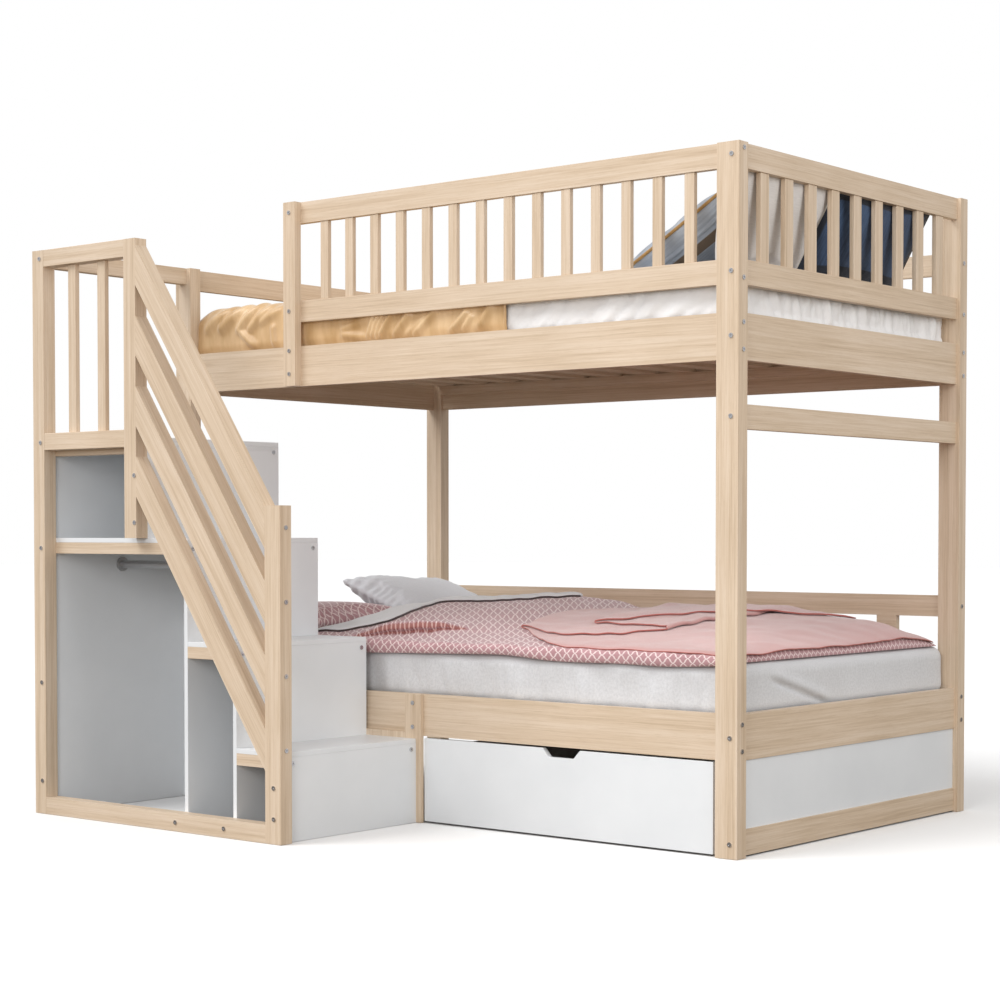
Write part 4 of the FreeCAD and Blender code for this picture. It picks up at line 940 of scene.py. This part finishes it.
def make_pillows(print_finish, grey):
    """The two pillows at the head of the lower bed."""
    quarter = Matrix.Rotation(math.pi / 2, 3, "Z")
    make_pillow("pillow_pink", (0.53, 0.39, 0.12), quarter, print_finish, 2.2)
    tilt = Matrix.Rotation(math.radians(23), 3, "Y") @ Matrix.Rotation(math.radians(-3), 3, "X")
    make_pillow("pillow_grey", (0.53, 0.39, 0.13), tilt @ quarter, grey, 2.8)


def leaning(angle):
    """Turns a flat cushion, whose width lies along X, to stand along Y and lean towards +X."""
    stand = Matrix(((0, 0, 1), (1, 0, 0), (0, 1, 0)))
    return Matrix.Rotation(math.radians(angle), 3, "Y") @ stand


def make_cushion(name, size, angle, slumps, finish, seam, lines=(), tuck=0.0, cord=0.0035, back_share=0.3):
    """A corded cushion in place of a solid. Slumps push its top corners sideways; a tuck slips its near
    edge behind the next cushion."""
    part = "upper_" + name
    made = stuffed(name, size, finish, 3.2, pressure=3.0, cap=0.012, back_share=back_share)
    stitch(made, lines, depth=0.006, reach=0.014)
    near, far = slumps
    for vertex in made.data.vertices:
        up, across = vertex.co.y / size[1] + 0.5, vertex.co.x / size[0] + 0.5
        vertex.co.x += up * (near + (far - near) * across)
    set_down(made, leaning(angle), part)
    for vertex, place, _ in cloth_points(made):
        share = ease(1 - (place.x / size[0] + 0.5) / 0.35)
        vertex.co += Vector((-0.8 * tuck, -tuck, 0.0)) * share
    piping(name + "_piping", seam_points(made, size), cord, seam, True)
    smoother(made)
    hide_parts(part)


def make_cushions(grey, navy, blue, cream, black, tan):
    """Two cushions against the right guard and one in front of them."""
    slump = 0.170
    make_cushion("cushion_grey", (0.38, 0.31, 0.10), 14, (0.0, slump), grey, cream)
    make_cushion("cushion_navy", NAVY_SIZE, 14, (slump, slump), navy, black, tuck=0.034)
    make_cushion("cushion_denim", DENIM_SIZE, 58, (0.0, 0.0), blue, tan, lines=((0, -0.175), (0, -0.15)),
                 cord=0.0045, back_share=0.5)


# Throw of the upper bed

UPPER_LOW, UPPER_HIGH = corners_of("upper_mattress")
THROW_LOW, THROW_HIGH = corners_of("upper_throw")
RAIL_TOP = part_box("upper_front_rail")[1][2]
THROW_ROUND = 0.050
# Folds of the hanging front: both ends in X and Z, how far the fold stands out, and its half width.
FOLDS = ((-0.762, 1.599, -0.832, 1.523, 0.012, 0.015), (-0.832, 1.523, -0.762, 1.465, 0.010, 0.013),
         (-0.705, 1.587, -0.780, 1.524, 0.010, 0.014), (-0.649, 1.579, -0.731, 1.543, 0.008, 0.014),
         (-0.826, 1.599, -0.914, 1.532, 0.012, 0.018), (-0.896, 1.591, -0.979, 1.536, 0.010, 0.018),
         (-0.677, 1.517, -0.671, 1.461, 0.008, 0.012), (-0.202, 1.530, -0.233, 1.460, 0.010, 0.007),
         (-0.223, 1.527, -0.249, 1.468, 0.010, 0.006), (-0.241, 1.529, -0.269, 1.462, 0.010, 0.007),
         (-0.171, 1.528, -0.214, 1.465, 0.010, 0.009), (-0.259, 1.528, -0.370, 1.498, 0.006, 0.012),
         (-0.275, 1.462, -0.370, 1.479, 0.006, 0.012), (-0.100, 1.523, -0.156, 1.461, 0.009, 0.012),
         (0.005, 1.527, -0.075, 1.462, 0.010, 0.011), (-0.025, 1.518, -0.110, 1.461, 0.006, 0.010),
         (0.132, 1.515, 0.069, 1.460, 0.010, 0.011), (0.151, 1.503, 0.117, 1.463, 0.007, 0.009),
         (0.222, 1.527, 0.175, 1.461, 0.008, 0.013))


def fold_lift(x, z):
    """How far the hanging front of the throw stands out in its folds."""
    out = 0.0
    for x_one, z_one, x_two, z_two, lift, width in FOLDS:
        run = Vector((x_two - x_one, z_two - z_one))
        away = Vector((x - x_one, z - z_one))
        share = min(1.0, max(0.0, away.dot(run) / run.length_squared))
        gap = (away - run * share).length
        out = max(out, 1.4 * lift * math.exp(-(gap / width) ** 2))
    return out


def throw_top(x, y):
    """Height of the throw over the mattress on the flat: soft swells, slanting folds and long wrinkles."""
    swell = 0.011 + 0.008 * soft_noise(x * 4, y * 4, 0.0) + 0.003 * soft_noise(x * 14, y * 9, 3.0)
    folds = 0.006 * soft_noise((x + 0.7 * y) * 15, (y - x) * 2.5, 2.0)
    entrance = 0.010 * ease((-0.45 - x) / 0.2)
    wrinkle = max(0.0, 1 - 5.5 * abs(soft_noise(x * 5.5 + y * 2.2, y * 1.7 - x * 0.6, 5.0)))
    calm = ease((y - UPPER_LOW.y - 0.08) / 0.20)
    return UPPER_HIGH.z + max(0.003, swell + folds + entrance + 0.009 * wrinkle * calm)


def throw_spot(x, along_cloth, back, hem):
    """A point of the throw, from its place along the bed and along the cloth from its back edge."""
    bend = THROW_ROUND
    flat_run = back - (UPPER_LOW.y + bend)
    turn_run = math.pi / 2 * bend
    if along_cloth < flat_run:
        y = back - along_cloth
        return Vector((x, y, throw_top(x, y)))
    top = throw_top(x, UPPER_LOW.y + bend)
    turn = min(1.0, (along_cloth - flat_run) / turn_run) * math.pi / 2
    fall = max(0.0, along_cloth - flat_run - turn_run)
    y = UPPER_LOW.y + bend - bend * math.sin(turn)
    z = max(hem, top - bend + bend * math.cos(turn) - fall)
    free = ease((z - RAIL_TOP + 0.004) / 0.03)
    uneven = 0.005 * soft_noise(x * 4, 1.0, 0.0) + 0.003 * soft_noise(x * 13, z * 13, 1.0)
    bulge = 0.001 + free * (0.007 + uneven)
    stand = bulge + fold_lift(x, z) * (0.2 + 0.8 * free)
    y -= stand * math.sin(turn)
    z += 0.4 * fold_lift(x, z) * math.cos(turn)
    if z < RAIL_TOP + 0.004:
        y = max(y, UPPER_LOW.y - 0.0085)
    return Vector((x, y, z))


def make_throw(finish):
    """A satin throw over the left of the upper bed, its front edge hanging behind the rail."""
    columns, rows = 250, 150
    left, right = UPPER_LOW.x - 0.006, THROW_HIGH.x
    back, hem = THROW_HIGH.y, THROW_LOW.z + 0.004
    over = back - (UPPER_LOW.y + THROW_ROUND) + math.pi / 2 * THROW_ROUND
    whole = over + UPPER_HIGH.z + 0.02 - THROW_ROUND - hem
    points, cloth = [], []
    for row in range(rows):
        along_cloth = whole * (row / (rows - 1)) ** 0.62
        for column in range(columns):
            x = left + (right - left) * column / (columns - 1)
            spot = throw_spot(x, along_cloth, back, hem)
            near = max(0.0, 1 - (x - left) / 0.10)
            down = 0.055 * (1 - math.sqrt(1 - near ** 2))
            spot.z = max(hem, spot.z - down)
            points.append(spot)
            cloth.append((x - left, along_cloth))
    made = new_piece("throw", points, sheet_faces(columns, rows), cloth, finish)
    thicken(made, 0.003)
    smoother(made)
    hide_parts("upper_throw")
    hem_line = [points[row * columns + columns - 1] + Vector((0.001, 0, 0.001)) for row in range(rows)]
    piping("throw_hem", hem_line, 0.0040, finish, False)


# Finish of the wooden and metal nodes

def soften_edges(part, width):
    """Eased edges on a node's solid."""
    weld = part.modifiers.new("weld", "WELD")
    weld.merge_threshold = 0.00001
    flat = part.modifiers.new("flat", "DECIMATE")
    flat.decimate_type = "DISSOLVE"
    flat.angle_limit = math.radians(1)
    eased = part.modifiers.new("eased", "BEVEL")
    eased.width = width
    eased.segments = 2
    eased.limit_method = "ANGLE"
    eased.angle_limit = math.radians(40)
    eased.harden_normals = True


def dress(name, finish, width=None):
    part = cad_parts[name]
    part.data.materials.clear()
    part.data.materials.append(finish)
    if width:
        soften_edges(part, width)


OAK_EASE, BOARD_EASE, ZINC_EASE = 0.0018, 0.0010, 0.0005

for axis, names in WOOD.items():
    finish = oak(axis)
    for name in names:
        dress(name, finish, OAK_EASE)
board = white_board()
for name in BOARDS:
    dress(name, board, BOARD_EASE)
dress("bolts", metal("bolt_chrome", (0.62, 0.62, 0.64), 0.16, (700, 700, 700)))
dress("hang_rail", metal("rail_steel", (0.62, 0.62, 0.63), 0.28, (20, 900, 900)))
dress("castor_housings", metal("castor_zinc", (0.50, 0.51, 0.52), 0.35, (300, 300, 300)), ZINC_EASE)
tyre = rubber()
for name in WHEELS:
    dress(name, tyre)

PINK, PINK_LINES = (0.50, 0.275, 0.295), (0.80, 0.66, 0.65)
# A darker copy of the duvet's print for the pleat's front: painted shade.
PLEAT_PAINTED_SHADE_PINK, PLEAT_PAINTED_SHADE_LINES = (0.33, 0.125, 0.11), (0.62, 0.40, 0.37)
DUVET_PITCH, DUVET_SLANT = (0.028, 0.120), 39.5
PIPING_PITCH = 0.001

mattress("mattress_lower", "lower_mattress",
         woven("sheet_grey", (0.72, 0.725, 0.745), 0.0016, 0.92, heather=0.38),
         lower_creases)
mattress("mattress_upper", "upper_mattress",
         woven("sheet_white", (0.90, 0.905, 0.92), 0.0012, 0.95),
         upper_creases)
make_duvet(trellis_print("duvet_print", PINK, PINK_LINES, DUVET_PITCH, DUVET_SLANT),
           trellis_print("duvet_border", PINK, PINK_LINES, (0.032, 0.024)),
           trellis_print("duvet_fold_painted_shade", PLEAT_PAINTED_SHADE_PINK, PLEAT_PAINTED_SHADE_LINES, DUVET_PITCH, DUVET_SLANT),
           woven("duvet_lining", (0.80, 0.805, 0.82), 0.0012, 0.9),
           # The near-black hem cord colour is painted shade along the turned part's edge.
           woven("duvet_edge", (0.07, 0.045, 0.045), PIPING_PITCH))
make_blanket(woven("blanket_wool", (0.60, 0.335, 0.32), 0.0024, 0.88, 0.92, 0.45),
             # The blanket's rim colour is painted shade along its edges.
             woven("blanket_rim_painted_shade", (0.42, 0.115, 0.095), 0.0015))
make_pillows(trellis_print("pillow_print", PINK, PINK_LINES, (0.034, 0.046)),
             woven("pillow_cotton", (0.68, 0.69, 0.725), 0.0012, 0.93, heather=0.15))
# The throw's dark and light colours are painted shade and painted sheen.
make_throw(satin("throw_satin_painted_sheen_and_shade", (0.49, 0.29, 0.115), (0.78, 0.55, 0.315)))
make_cushions(woven("cushion_taupe", (0.86, 0.84, 0.83), 0.0022, 0.8),
              denim("cushion_indigo", (0.018, 0.038, 0.086), (0.060, 0.118, 0.235), (0.012, 0.019, 0.036),
                    NAVY_SIZE, (-1.0, 0.055)),
              denim("cushion_washed", (0.34, 0.40, 0.49), (0.60, 0.66, 0.74), (0.22, 0.15, 0.09),
                    DENIM_SIZE, (0.080, 0.125), True),
              woven("piping_cream", (0.74, 0.68, 0.60), PIPING_PITCH),
              woven("piping_black", (0.012, 0.013, 0.017), PIPING_PITCH),
              woven("piping_tan", (0.55, 0.32, 0.11), PIPING_PITCH))


# Floor, light and camera

def make_floor():
    """A plain pale floor that throws little light back up."""
    made = new_material("floor_white")
    tree = made.node_tree
    haze = clouds(object_place(made), (1.5, 1.5, 1.5), 2.0)
    pale = ramp(haze, (0.3, (0.90, 0.90, 0.90)), (0.7, (0.92, 0.92, 0.92)))
    seen = node(tree, "LightPath").outputs["Is Camera Ray"]
    shader = tree.nodes["Principled BSDF"]
    tree.links.new(mixed(seen, (0.14, 0.11, 0.08), pale), shader.inputs["Base Color"])
    shader.inputs["Roughness"].default_value = 0.9
    mesh = bpy.data.meshes.new("floor")
    reach, height = 40, -0.001
    corners = [(x * reach, y * reach, height) for x, y in ((-1, -1), (1, -1), (1, 1), (-1, 1))]
    mesh.from_pydata(corners, [], [(0, 1, 2, 3)])
    mesh.materials.append(made)
    add_object("floor", mesh)


def turn_to(thing, direction):
    thing.rotation_euler = direction.to_track_quat("-Z", "Y").to_euler()


def make_light(name, place, aim, size, power, colour):
    """A soft area light aimed at a point."""
    lamp = bpy.data.lights.new(name, "AREA")
    lamp.shape = "DISK"
    lamp.size = size
    lamp.energy = power
    lamp.color = colour
    made = add_object(name, lamp)
    made.location = place
    turn_to(made, Vector(aim) - Vector(place))


def make_sun(power, direction):
    """The main light, wide and soft, from the front left."""
    lamp = bpy.data.lights.new("key", "SUN")
    lamp.energy = power
    lamp.angle = math.radians(35)
    turn_to(add_object("key", lamp), Vector(direction))


def make_sky():
    """Even white surroundings: brighter where they are seen directly."""
    world = bpy.data.worlds.new("studio")
    world.use_nodes = True
    tree = world.node_tree
    back = tree.nodes["Background"]
    back.inputs["Color"].default_value = (1.0, 1.0, 1.0, 1.0)
    seen = node(tree, "LightPath").outputs["Is Camera Ray"]
    tree.links.new(levels(seen, 0.0, 1.0, 0.76, 1.0), back.inputs["Strength"])
    bpy.context.scene.world = world


def make_camera():
    """The photograph's view."""
    lens = bpy.data.cameras.new("camera")
    lens.lens = 75.56
    lens.sensor_width = 36.0
    lens.shift_y = 0.0942
    lens.clip_end = 200.0
    made = add_object("camera", lens)
    made.location = (4.1459, -5.0269, 0.8707)
    heading, pitch = math.radians(39.551), math.radians(1.702)
    level = math.cos(pitch)
    turn_to(made, Vector((-math.sin(heading) * level, math.cos(heading) * level, -math.sin(pitch))))
    bpy.context.scene.camera = made


make_floor()
make_sun(power=1.74, direction=(0.42, 0.62, -0.80))
make_light("fill", (6.0, -1.0, 3.0), aim=(0.0, 0.0, 0.9), size=3.5, power=95.0, colour=(1.0, 0.98, 0.95))
make_light("front", (2.4, -6.4, 2.3), aim=(-0.2, 0.0, 1.2), size=3.0, power=140.0, colour=(1.0, 0.99, 0.98))
make_sky()
make_camera()
bpy.context.scene.view_settings.view_transform = "Standard"
